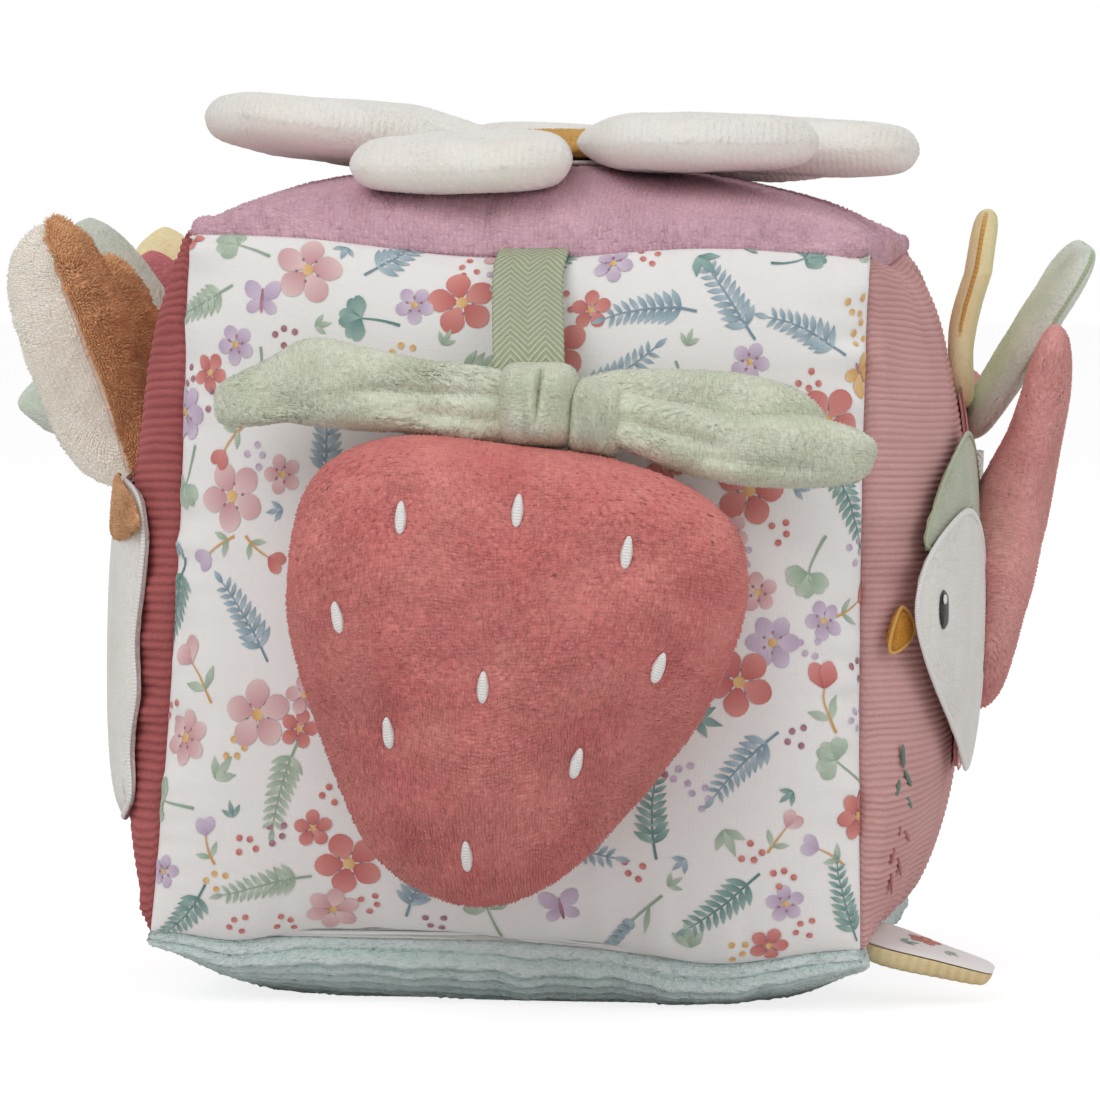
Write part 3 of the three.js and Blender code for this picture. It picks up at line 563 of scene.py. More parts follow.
def leaf_outline(shares, length, width):
    """An outline cut on the fold: its upper half in shares, from root to tip."""
    other = [(along, -across) for along, across in reversed(shares[:-1])]
    return Outline([*shares, *other], length, width / 2)


def frame_at(origin, along, face_out):
    """A place with its own axes: along the piece, across it, and out of its face."""
    length = Vector(along).normalized()
    across = Vector(face_out).cross(length).normalized()
    out = length.cross(across)
    turned = Matrix((length, across, out)).transposed().to_4x4()
    return Matrix.Translation(Vector(origin)) @ turned


SEWN = 0.9999  # the share of the way to the rim from which a point is held by the seam


def two_sheets(bm, outline, front, back, step, fullness):
    """Two sheets sewn together round an outline, each domed by its rise."""
    rim = bm.verts.layers.float.new("rim")
    face = bm.verts.layers.float.new("face")
    columns = max(6, round(2 * outline.half.x / step))
    rows = max(6, round(2 * outline.half.y / step))
    for side, rise in ((1, front), (-1, back)):
        sheet = bmesh.ops.create_grid(bm, x_segments=columns, y_segments=rows, size=1)["verts"]
        for vert in sheet:
            flat, share = outline.spread(vert.co.x, vert.co.y)
            vert[rim] = share
            vert[face] = side
            vert.co = (flat.x, flat.y, side * rise * math.sqrt(max(0.0, 1 - share**fullness)))
        if side < 0:
            turned = {f for vert in sheet for f in vert.link_faces}
            bmesh.ops.reverse_faces(bm, faces=list(turned))
    rims = [vert for vert in bm.verts if vert[rim] > SEWN]
    bmesh.ops.remove_doubles(bm, verts=rims, dist=0.02)
    for vert in bm.verts:
        if vert[rim] > SEWN:
            vert[face] = 0


PADS = []
LOOSE = 0.85  # how full a pad is sewn, as a share of its filled rise
GIVE = 3.5  # how far a swelling pad's cloth may move
FILLING_FRAMES = 20
FILLING = {
    "quality": 5, "mass": 0.3, "use_pressure": True, "uniform_pressure_force": 4,
    "tension_stiffness": 15, "compression_stiffness": 15, "shear_stiffness": 8,
}


class Pad:
    """A stuffed piece: cut and sewn flat, filled, then taken to its place."""

    def __init__(self, name, outline, front, back, place, step=4.0, fullness=2.3):
        self.name = name
        self.outline = outline
        self.rises = (front, back)
        self.place = place
        bm = bmesh.new()
        two_sheets(bm, outline, front * LOOSE, back * LOOSE, step, fullness)
        bmesh.ops.scale(bm, vec=(MM, MM, MM), verts=bm.verts)
        mesh = bpy.data.meshes.new(name + "_sewn")
        bm.to_mesh(mesh)
        bm.free()
        self.sewn = bpy.data.objects.new(name + "_sewn", mesh)
        bpy.context.scene.collection.objects.link(self.sewn)
        PADS.append(self)

    def fill(self, swollen):
        """Takes up the swollen form, as far as its cloth gives."""
        for vert, full in zip(self.sewn.data.vertices, swollen):
            move = full - vert.co
            if move.length > GIVE * MM:
                move = move.normalized() * GIVE * MM
            vert.co += move

    def refined(self, levels=2):
        """The filled form on finer cloth, in millimetres, on its own axes."""
        smooth = self.sewn.modifiers.new("finer", "SUBSURF")
        smooth.levels = smooth.render_levels = levels
        graph = bpy.context.evaluated_depsgraph_get()
        mesh = bpy.data.meshes.new_from_object(self.sewn.evaluated_get(graph))
        bm = bmesh.new()
        bm.from_mesh(mesh)
        bpy.data.meshes.remove(mesh)
        bpy.data.objects.remove(self.sewn)
        bmesh.ops.scale(bm, vec=(1 / MM, 1 / MM, 1 / MM), verts=bm.verts)
        self.sized(bm.verts)
        return bm

    def sized(self, points):
        """Brings the filled form back to its cut outline and its two rises."""
        front, back = self.rises
        top = max(v.co.z for v in points)
        low = -min(v.co.z for v in points)
        centre = self.outline.centre
        wide = [max(abs(v.co[i] - centre[i]) for v in points) for i in (0, 1)]
        for vert in points:
            for i in (0, 1):
                vert.co[i] = centre[i] + (vert.co[i] - centre[i]) * self.outline.half[i] / wide[i]
            if vert.co.z > 0:
                vert.co.z *= front / top if front else 0.0
            elif low > 0:
                vert.co.z *= back / low if back else 0.0

    def placed(self, bm, shape=None):
        """Shapes each point on the pad's own axes, then takes it to its place on the block."""
        rim = bm.verts.layers.float["rim"]
        face = bm.verts.layers.float["face"]
        for vert in bm.verts:
            point = vert.co.copy()
            if shape:
                point = shape(point, vert[rim], vert[face])
            vert.co = self.place @ point
        bm.normal_update()


def fill_pads():
    """Lets every sewn pad swell over its filling at once, as cloth under pressure."""
    scene = bpy.context.scene
    scene.frame_start = 1
    scene.frame_end = FILLING_FRAMES
    for pad in PADS:
        cloth = pad.sewn.modifiers.new("filling", "CLOTH")
        for name, value in FILLING.items():
            setattr(cloth.settings, name, value)
        cloth.settings.effector_weights.gravity = 0
        cloth.point_cache.frame_start = 1
        cloth.point_cache.frame_end = FILLING_FRAMES
    for step in range(FILLING_FRAMES):
        scene.frame_set(step + 1)
    graph = bpy.context.evaluated_depsgraph_get()
    for pad in PADS:
        swollen = [v.co.copy() for v in pad.sewn.evaluated_get(graph).data.vertices]
        pad.sewn.modifiers.clear()
        pad.fill(swollen)
    scene.frame_set(1)


SCATTER = 0.36  # how far a point may stray, in shares of its shortest edge


def strayed(chance, far=1.0):
    return Vector([chance.uniform(-far, far) for axis in range(3)])


def scatter_weave(faces, chance):
    """Moves the points of a cloth about on its surface, so that its tufts don't stand in rows."""
    moves = {}
    for vert in dict.fromkeys(v for face in faces for v in face.verts):
        stray = strayed(chance)
        room = SCATTER * min(edge.calc_length() for edge in vert.link_edges)
        moves[vert] = (stray - vert.normal * stray.dot(vert.normal)) * room
    for vert, move in moves.items():
        vert.co += move


def raise_pile(bm, faces, length, lean=(0, 0, 0), spread=0.35, seed=1):
    """Stands a tuft on every face: its tip leans with the nap and strays a little."""
    tip = bm.verts.layers.float.get("tip") or bm.verts.layers.float.new("tip")
    chance = random.Random(seed)
    scatter_weave(faces, chance)
    tufts = bmesh.ops.poke(bm, faces=faces, offset=0.0)["verts"]
    bm.normal_update()
    nap = Vector(lean)
    for vert in tufts:
        brushed = noise.noise(vert.co / 9) * 0.5 + 0.75
        vert.co += (vert.normal * brushed + nap + strayed(chance) * spread) * length
        vert[tip] = chance.uniform(0.6, 1.0)


def comb_fur(bm, faces, length, lean, seed):
    """Long pile: each tuft rises from a face, narrows, and bends with the fur round it."""
    tip = bm.verts.layers.float.get("tip") or bm.verts.layers.float.new("tip")
    chance = random.Random(seed)
    nap = Vector(lean)
    directions = {}
    for face in faces:
        centre = face.calc_center_median()
        swirl = noise.noise_vector(centre / 3.4) * 1.3 + noise.noise_vector(centre / 11) * 0.6
        directions[face.index] = (face.normal + nap + swirl + strayed(chance, 0.5)).normalized()
    scatter_weave(faces, chance)
    bm.normal_update()
    order = [(face.index, face.normal.copy()) for face in faces]
    raised = bmesh.ops.extrude_discrete_faces(bm, faces=faces)["faces"]
    tips = {}
    for (index, out), face in zip(order, raised):
        centre = face.calc_center_median()
        tall = length * chance.uniform(0.65, 1.1) * (0.85 + 0.35 * noise.noise(centre / 5))
        way = (out * 0.6 + directions[index] * 0.4).normalized()
        for vert in face.verts:
            vert.co = centre + (vert.co - centre) * 0.8 + way * tall * 0.5
            vert[tip] = 0.45
        tips[face] = way * tall * 0.1 + directions[index] * tall * 0.5
    poked = bmesh.ops.poke(bm, faces=raised, offset=0.0)
    for vert, move in zip(poked["verts"], tips.values()):
        vert.co += move
        vert[tip] = chance.uniform(0.75, 1.0)


def satin(name, path, outs, width, height, body, finish, pitch=0.55):
    """A row of satin stitches round an edge, each thread a small ridge across it."""
    line = [*path, path[0]]
    ways = [*outs, outs[0]]
    runs = run_lengths(line)
    threads = max(4, round(runs[-1] / pitch))
    bm = bmesh.new()
    ridge = bm.verts.layers.float.new("ridge")
    for vert in bmesh.ops.create_grid(bm, x_segments=6, y_segments=3 * threads, size=1)["verts"]:
        share = (vert.co.y + 1) / 2
        i, part = leg(runs, share * runs[-1])
        middle = line[i].lerp(line[i + 1], part)
        out = ways[i].lerp(ways[i + 1], part).normalized()
        along = (line[i + 1] - line[i]).normalized()
        side = along.cross(out).normalized()
        high = 0.5 + 0.5 * math.cos(2 * math.pi * share * threads)
        turn = vert.co.x * math.pi / 2
        reach = width / 2 * (1 + 0.05 * high)
        vert[ridge] = high
        vert.co = middle + side * math.sin(turn) * reach + out * math.cos(turn) * (height + 0.12 * high)
    bmesh.ops.remove_doubles(bm, verts=bm.verts, dist=0.01)
    backed(bm, 0.2)
    finished(name, bm, body, finish)


def stitch_dome(s, t):
    """How high a filled satin shape stands over a point of its square."""
    return math.sqrt(max(0, 1 - max(abs(s), abs(t)) ** 2.4))


def applique(name, side, shares, lift, thickness, finish, nodes, step=1.3, pile=0.2, edge_share=0.5):
    """A flat piece sewn on a side of the block, its outline in shares of that side."""
    outline = Outline(shares)
    bm = bmesh.new()
    two_sheets(bm, outline, thickness, 0, step / HALF, 4)
    rim = bm.verts.layers.float["rim"]
    face = bm.verts.layers.float["face"]
    for vert in bm.verts:
        share = vert[rim]
        dome = edge_share + (1 - edge_share) * math.sqrt(max(0.0, 1 - share**5))
        rise = thickness * dome if vert[face] > 0 else 0.0
        vert.co = skin(side, vert.co.x, vert.co.y, -(lift + rise))
    bm.normal_update()
    upper = [f for f in bm.faces if sum(v[face] for v in f.verts) > 0]
    raise_pile(bm, upper, pile, (0, 0, -0.25), 0.3, len(name))
    edge = []
    outs = []
    for p in outline.points[::2]:
        edge.append(skin(side, p.x, p.y, -(lift + thickness * (edge_share + 0.2))))
        outs.append(skin_out(side, p.x, p.y))
    finished(name, bm, "block", finish, nodes)
    return edge, outs


def side_panel(name, side, columns, rows, finish, node, relief=None, pile=0.0, lean=(0, 0, 0), roll=0.0):
    """A panel of the block: a sheet that swells over the filling and turns in at its seams."""
    cloth = CLOTHS[side]
    wide = cloth.reach(False) + TURNED_RIM
    tall = cloth.reach(True) + TURNED_RIM
    bm = bmesh.new()
    wale_shade = bm.verts.layers.float.new("wale_shade")
    for vert in bmesh.ops.create_grid(bm, x_segments=columns, y_segments=rows, size=1)["verts"]:
        s = vert.co.x * wide
        t = vert.co.y * tall
        # the relief also gives the share of painted shade: 0 in a groove, 1 on a ridge
        lift, vert[wale_shade] = relief(s, t) if relief else (0.0, 0.0)
        lift += 0.9 * noise.noise(Vector((s / 30, t / 30, len(name))))
        inside = min(cloth.reach(False) - abs(s), cloth.reach(True) - abs(t))
        lift += roll * math.exp(-(((inside - 5) / 5) ** 2))
        lift *= clamp(inside / 4, 0, 1)
        vert.co = cloth.at(s, t, lift)
    outer = bm.faces[:]
    backed(bm, CLOTH_THICKNESS)
    if pile:
        raise_pile(bm, outer, pile, lean, 0.6, len(name))
    finished(name, bm, "block", finish, [node])


def stuffed(pad, body, finish, nodes, shape, pile, lean, spread, seed, levels=2):
    """Finishes a filled pad: finer cloth, its own folds, its pile, and its place on a body."""
    bm = pad.refined(levels)
    pad.placed(bm, shape)
    raise_pile(bm, bm.faces[:], pile, lean, spread, seed)
    finished(pad.name, bm, body, finish, nodes)


def wales(pitch, depth, wander=0.0, first=0.0):
    """Ribs that run across a panel, with a ridge at the distance first from its middle; how high a point
    stands also sets the painted shade in the grooves.
    """

    def relief(s, t):
        shift = wander * noise.noise(Vector((s / 38, t / 30, 4.2)))
        wave = math.cos(2 * math.pi * (t + shift - first) / pitch)
        high = (0.5 + 0.5 * wave) ** 0.5
        return depth * (high - 0.5), high

    return relief


# ---------------------------------------------------------------------------------------------
# Outlines, in shares as they are cut
# ---------------------------------------------------------------------------------------------

BERRY = [
    (-0.57, 0.98), (0, 0.96), (0.49, 0.87), (0.91, 0.65), (1, 0.37), (0.84, -0.12), (0.5, -0.55),
    (0.15, -0.9), (-0.2, -1), (-0.58, -0.81), (-0.78, -0.43), (-0.96, 0.04), (-1, 0.34), (-0.88, 0.8),
]
PETAL = [(0, 0.2), (0.18, 0.5), (0.4, 0.76), (0.55, 0.91), (0.74, 1), (0.91, 0.78), (0.98, 0.42), (1, 0)]
BIRD_BODY = [
    (-0.42, -0.2), (-0.1, -0.55), (0.35, -0.45), (0.62, 0), (0.6, 0.42), (0.36, 0.6), (0.05, 0.35),
    (-0.3, 0.15),
]
BIRD_FACE = [
    (-0.46, 0.24), (-0.86, 0.13), (-0.93, -0.03), (-0.84, -0.22), (-0.54, -0.42), (-0.22, -0.52),
    (-0.02, -0.32), (0, -0.04), (-0.08, 0.12),
]
BIRD_CAP = [(-0.86, 0.15), (-0.72, 0.33), (-0.22, 0.47), (0.05, 0.4), (0.22, 0.2), (0.1, 0.06), (-0.3, 0.2)]
BIRD_BEAK = [(-0.975, -0.15), (-0.945, -0.02), (-0.89, -0.09)]
WING = [(0, 0.3), (0.1, 0.72), (0.3, 1), (0.55, 0.88), (0.8, 0.6), (0.94, 0.5), (0.99, 0.3), (1, 0)]
TAB = [(0, 0.6), (0.3, 0.9), (0.7, 1), (0.94, 0.9), (0.99, 0.6), (1, 0)]
ROUND_TAB = [(0, 0.55), (0.3, 0.85), (0.65, 1), (0.88, 0.84), (0.97, 0.5), (1, 0)]
POINTED_TAB = [(0, 0.55), (0.28, 0.85), (0.55, 1), (0.66, 0.98), (0.9, 0.4), (1, 0)]
RABBIT_HEAD = [
    (0, 0.3), (-0.34, 0.26), (-0.52, 0.02), (-0.52, -0.32), (-0.3, -0.57), (0, -0.66), (0.34, -0.7),
    (0.7, -0.7), (0.93, -0.63), (0.92, -0.48), (0.95, -0.32), (0.93, -0.18), (0.95, 0), (0.95, 0.14),
    (0.9, 0.24), (0.5, 0.29),
]
RABBIT_PATCH = [(0.48, 0.29), (0.86, 0.26), (0.95, 0.2), (0.965, 0.15), (0.85, 0.11), (0.58, 0.16)]
EAR = [(0, 0.3), (0.2, 0.55), (0.5, 0.92), (0.72, 1), (0.9, 0.74), (1, 0)]
FLAP = [(0, 1), (0.5, 0.7), (0.94, 0.42), (0.99, 0.3), (1, 0)]


# ---------------------------------------------------------------------------------------------
# Stuffed pieces, cut and filled first
# ---------------------------------------------------------------------------------------------

BERRY_RISES = (21, 15)  # in front of the strawberry's seam and behind it
BERRY_HALF = (49, 49.75)
BERRY_Z = 76
BERRY_SEAM_Y = skin("front", 0, 0).y - SKIN_LIFT - BERRY_RISES[1]
KNOT_Z = BERRY_Z + BERRY_HALF[1] + SEWN_GAP + 9
KNOT_Y = BERRY_SEAM_Y + 4.25
FLOWER_X = 3
FLOWER_BASE_Z = BLOCK_CENTRE + HALF + CROWN + SKIN_LIFT
FLOWER_BASE_RISE = 0.8  # half the cloth base's thickness
BUTTON_RISES = (5.2, 1.4)
PETAL_RISE = 6.4  # half a petal's thickness
PETAL_ROOT = 18  # from the middle of the flower
PETAL_ROOT_Z = FLOWER_BASE_Z + 6.2
PETAL_TURN = -13  # of the petal at the front, in degrees
PETAL_DROOPS = [7.5, 1.5, 2.5, 3, 3, -6, -5.5]
PETAL_SINKS = [3, 1, 0, 0, 0, 0, 3.5]  # how far a petal's root is pressed into the cloth base
TAB_RISE = 3  # half a tab's thickness

strawberry = Pad(
    "strawberry_cover",
    Outline(BERRY, *BERRY_HALF),
    *BERRY_RISES,
    frame_at((7, BERRY_SEAM_Y, BERRY_Z), (1, 0, 0), (0, -1, 0)),
    3.4,
    2.2,
)


def squared(value):
    return math.copysign(math.sqrt(abs(value)), value)


band = Outline([(squared(math.cos(a)), squared(math.sin(a))) for a in ROUND_TURNS])


def knot_band(name, x, z, half_width, half_height, depth, lean):
    """One wrap of the tied strip."""
    outline = Outline([(p.x * half_width, p.y * half_height) for p in band.points[::12]])
    return Pad(name, outline, depth, 8.5, frame_at((x, KNOT_Y, z), (1, 0, lean), (0, -1, 0)), 2.6)


knot = knot_band("leaf_knot_cover", 11.2, KNOT_Z - 2.9, 8.6, 9.0, 9.2, 0)
knot_fold = knot_band("leaf_knot_fold", 23.6, KNOT_Z - 5.6, 6.2, 8.0, 8.0, -0.12)


def leaf(name, side, length, root_drop, tip_drop, back, front_rise, back_rise, trace):
    """Half of the leaf strip; its outline is given by places across and up the block's front."""
    root = (10 + side * 11.7, KNOT_Y + back, KNOT_Z - root_drop)
    place = frame_at(root, (side * length, 0, root_drop - tip_drop), (0, -1, 0))
    found = [place.inverted() @ Vector((x, root[1], z)) for x, z in trace]
    return Pad(name, Outline([(p.x, p.y) for p in found]), front_rise, back_rise, place, 2.8, 3.4)


leaf_left = leaf("leaf_left_cover", -1, 57, 0, 2, 0, 5.6, 4.5, [
    (8, 137.4), (-2.8, 140.3), (-9.7, 140.8), (-16.6, 142.2), (-23.5, 143.9), (-30.5, 145.3), (-37.4, 146.2),
    (-41.4, 145), (-45.5, 142.2), (-50.1, 139.3), (-54.8, 137.6), (-57.7, 135.9), (-58.5, 133), (-57.7, 129),
    (-55.4, 127.3), (-50.2, 127.7), (-44.4, 128.6), (-37.4, 127.4), (-29.3, 126.8), (-21.3, 126.6),
    (-14.3, 126.6), (-8.6, 125.4), (-4, 123.9), (2, 124.4), (8, 127),
])
leaf_right = leaf("leaf_right_cover", 1, 60, 4, 10, -1, 5.8, 4.5, [
    (17, 135.5), (25.4, 134.4), (31.7, 134.5), (40.8, 132.4), (49.9, 131), (59, 130.2), (66.9, 130.6),
    (71.4, 129.5), (76.5, 127.5), (81.3, 125.9), (82.5, 123.4), (81.6, 120.5), (79.9, 118), (74.8, 116.2),
    (68, 115.3), (60.1, 115.2), (53.3, 115.7), (45.4, 117), (38.5, 119.2), (33.4, 121.5), (28, 124),
    (20, 125),
])
leaf_right_back = leaf("leaf_right_back", 1, 60, 4, 10, 3.2, 5.2, 3.0, [
    (16, 136), (19.8, 137.4), (23.3, 138.3), (30.1, 139.2), (38.1, 139.7), (46.1, 139.6), (54.1, 138.8),
    (60.9, 136.9), (66.6, 134.4), (70.4, 131.6), (72, 127), (68, 124), (60, 123), (48, 124), (34, 127),
    (18, 130),
])

petals = []
for i, (droop, sink) in enumerate(zip(PETAL_DROOPS, PETAL_SINKS)):
    turn = math.radians(PETAL_TURN + 360 / len(PETAL_DROOPS) * i)
    outward = Vector((math.sin(turn), -math.cos(turn), 0))
    root = Vector((FLOWER_X, 0, PETAL_ROOT_Z - sink)) + outward * PETAL_ROOT
    place = frame_at(root, outward * 64 - Vector((0, 0, droop - sink)), (0, 0, 1))
    shape = leaf_outline(PETAL, 64.5, 49)
    petals.append(Pad(f"petal_cover_{i + 1}", shape, PETAL_RISE, PETAL_RISE, place, 3.6, 7.0))

button = Pad(
    "flower_button",
    round_outline(18.3),
    *BUTTON_RISES,
    Matrix.Translation((FLOWER_X, 0, FLOWER_BASE_Z + 2 * FLOWER_BASE_RISE + SEWN_GAP + BUTTON_RISES[1])),
    3.0,
    3.0,
)


def standing_place(side, across, up, lift, lean):
    out = Vector(SIDES[side]["out"])
    turn = math.radians(lean)
    along = Vector((0, 0, 1)) * math.cos(turn) + out * math.sin(turn)
    return frame_at(skin(side, across, up, -lift), along, out)


wing = Pad(
    "wing_cover",
    leaf_outline(WING, 89, 38),
    6.6,
    4.6,
    standing_place("right", 0.18, -0.355, 3.9, 11),
    3.4,
    4.5,
)
def tail_pad(colour, length, width, place, step, fullness):
    outline = leaf_outline(TAB, length, width)
    return Pad(f"tail_tab_{colour}_cover", outline, TAB_RISE, TAB_RISE, place, step, fullness)


green_twist = Matrix.Rotation(math.radians(20), 4, "X")
tail_yellow = tail_pad("yellow", 44.9, 21, standing_place("right", 0.475, 0.55, 2.04, 3), 2.4, 8.0)
tail_green = tail_pad(
    "green", 51, 21, standing_place("right", 0.475, 0.46, 2.31, 32) @ green_twist, 2.4, 8.0
)
tail_pink = tail_pad(
    "pink", 34.2, 16.8, frame_at(skin("right", 0.72, 0.48, -1.02), (0.1, 0.97, 0.12), (1, 0, 0)), 3.0, 3.4
)

ears = []
for name, long, across, seat, lean, curl in (
    ("front", 61, 0.256, 0.81, 15, 0.08),
    ("rear", 51.2, -0.231, 1.12, 12, 0.05),
):
    for half, lift, front, back in (("cream", 0.0, 16, 0), ("brown", 0.6, 0, 7.6)):
        place = standing_place("left", across, 0.31, seat * 3.6 - 3 + lift, lean)
        shape = leaf_outline(EAR, long, 30)
        pad = Pad(f"ear_{name}_{half}_cover", shape, front, back, place, 4.2, 3.0)
        ears.append((f"ear_{name}", half, curl * long, pad))

fan = []
for name, finish, length, width, across, up, seat, climb, tilt, shares in (
    ("ochre", "tab_yellow", 31, 15.12, -0.833, 0.72, 3.4, 51, -16, ROUND_TAB),
    ("red", "tab_red", 28, 15.12, -0.705, 0.68, 2.58, 50, -8, ROUND_TAB),
    ("green_upper", "tab_green", 43, 17, -0.577, 0.62, 3.81, 51, 6, ROUND_TAB),
    ("green_lower", "tab_green", 46.92, 23, -0.718, 0.57, 1.29, -5, 0, POINTED_TAB),
):
    rise = math.radians(climb)
    slant = math.radians(tilt)
    along = Vector((-math.cos(rise), 0, math.sin(rise))) * math.cos(slant)
    along += Vector((0, -1, 0)) * math.sin(slant)
    place = frame_at(skin("left", across, up, -seat), along, (0, -1, 0))
    shape = leaf_outline(shares, length, width)
    fan.append((finish, Pad(f"fan_tab_{name}_cover", shape, TAB_RISE, TAB_RISE, place, 3.0, 3.4)))

flap_droop = math.radians(16)
flap_along = (math.cos(flap_droop), 0, -math.sin(flap_droop))
flap_place = frame_at(skin("right", -0.66, -1, -2.2), flap_along, (0, 0, 1))
flap_top_place = flap_place @ Matrix.Translation((0, 0, SEWN_GAP))
flap_top = Pad("flap_top_cover", leaf_outline(FLAP, 27, 30), 1.8, 0, flap_top_place, 2.6, 4.0)
flap_under = Pad("flap_under_cover", leaf_outline(FLAP, 27, 30), 0, 6.2, flap_place, 2.4, 9.0)

fill_pads()


# ---------------------------------------------------------------------------------------------
# Panels of the block
# ---------------------------------------------------------------------------------------------

side_panel(
    "right_panel_corduroy", "right", 36, 540, "pink_corduroy", "panel_right", wales(1.5, 0.28)
)
side_panel("left_panel_corduroy", "left", 34, 480, "red_corduroy", "panel_left", wales(2.0, 0.3))
side_panel(
    "bottom_panel_plush", "bottom", 86, 230, "mint_plush", "panel_bottom",
    wales(3.8, 1.2, 1.2, CLOTHS["bottom"].reach(True) - 1.9), 0.4, (0, 0, 0.2), 1.0,
)
side_panel(
    "top_panel_velour", "top", 158, 158, "lavender_velour", "panel_top", None, 0.42, (0.2, -0.3, 0)
)
side_panel(
    "back_panel_velour", "back", 112, 112, "green_velour", "panel_back", None, 0.36, (0, 0, -0.35)
)


# ---------------------------------------------------------------------------------------------
# Printed cotton on the front
# ---------------------------------------------------------------------------------------------

WHITE = dye("#f3f1ef")


def print_white(bm):
    """Gives a cloth its plain white ground, before it is printed."""
    colour = bm.verts.layers.float_color.new("print")
    for vert in bm.verts:
        vert[colour] = WHITE


front_cloth = CLOTHS["front"]
bm = bmesh.new()
for vert in bmesh.ops.create_grid(bm, x_segments=132, y_segments=132, size=1)["verts"]:
    s = vert.co.x * (front_cloth.reach(False) + TURNED_RIM)
    t = vert.co.y * (front_cloth.reach(True) + TURNED_RIM)
    vert.co = front_cloth.at(s, t)
backed(bm, CLOTH_THICKNESS)
print_white(bm)
finished("front_panel_cotton", bm, "block", "printed_cotton", ["panel_front"])

INKS = {
    "coral": ("#c4615e", "#de938b"),
    "rose": ("#cf9499", "#e9c9c8"),
    "mauve": ("#b7a0bd", "#d8c8da"),
    "teal": ("#5f8885", "#9dbab2"),
    "sage": ("#93ab94", "#c3d1be"),
    "blue": ("#7793a3", "#b4c7cf"),
    "ochre": ("#d8a055", "#ecc890"),
    "plum": ("#8d5a68", "#bd8b96"),
}


PRINT_LIFT = 0.1  # of the lowest motif over its cloth


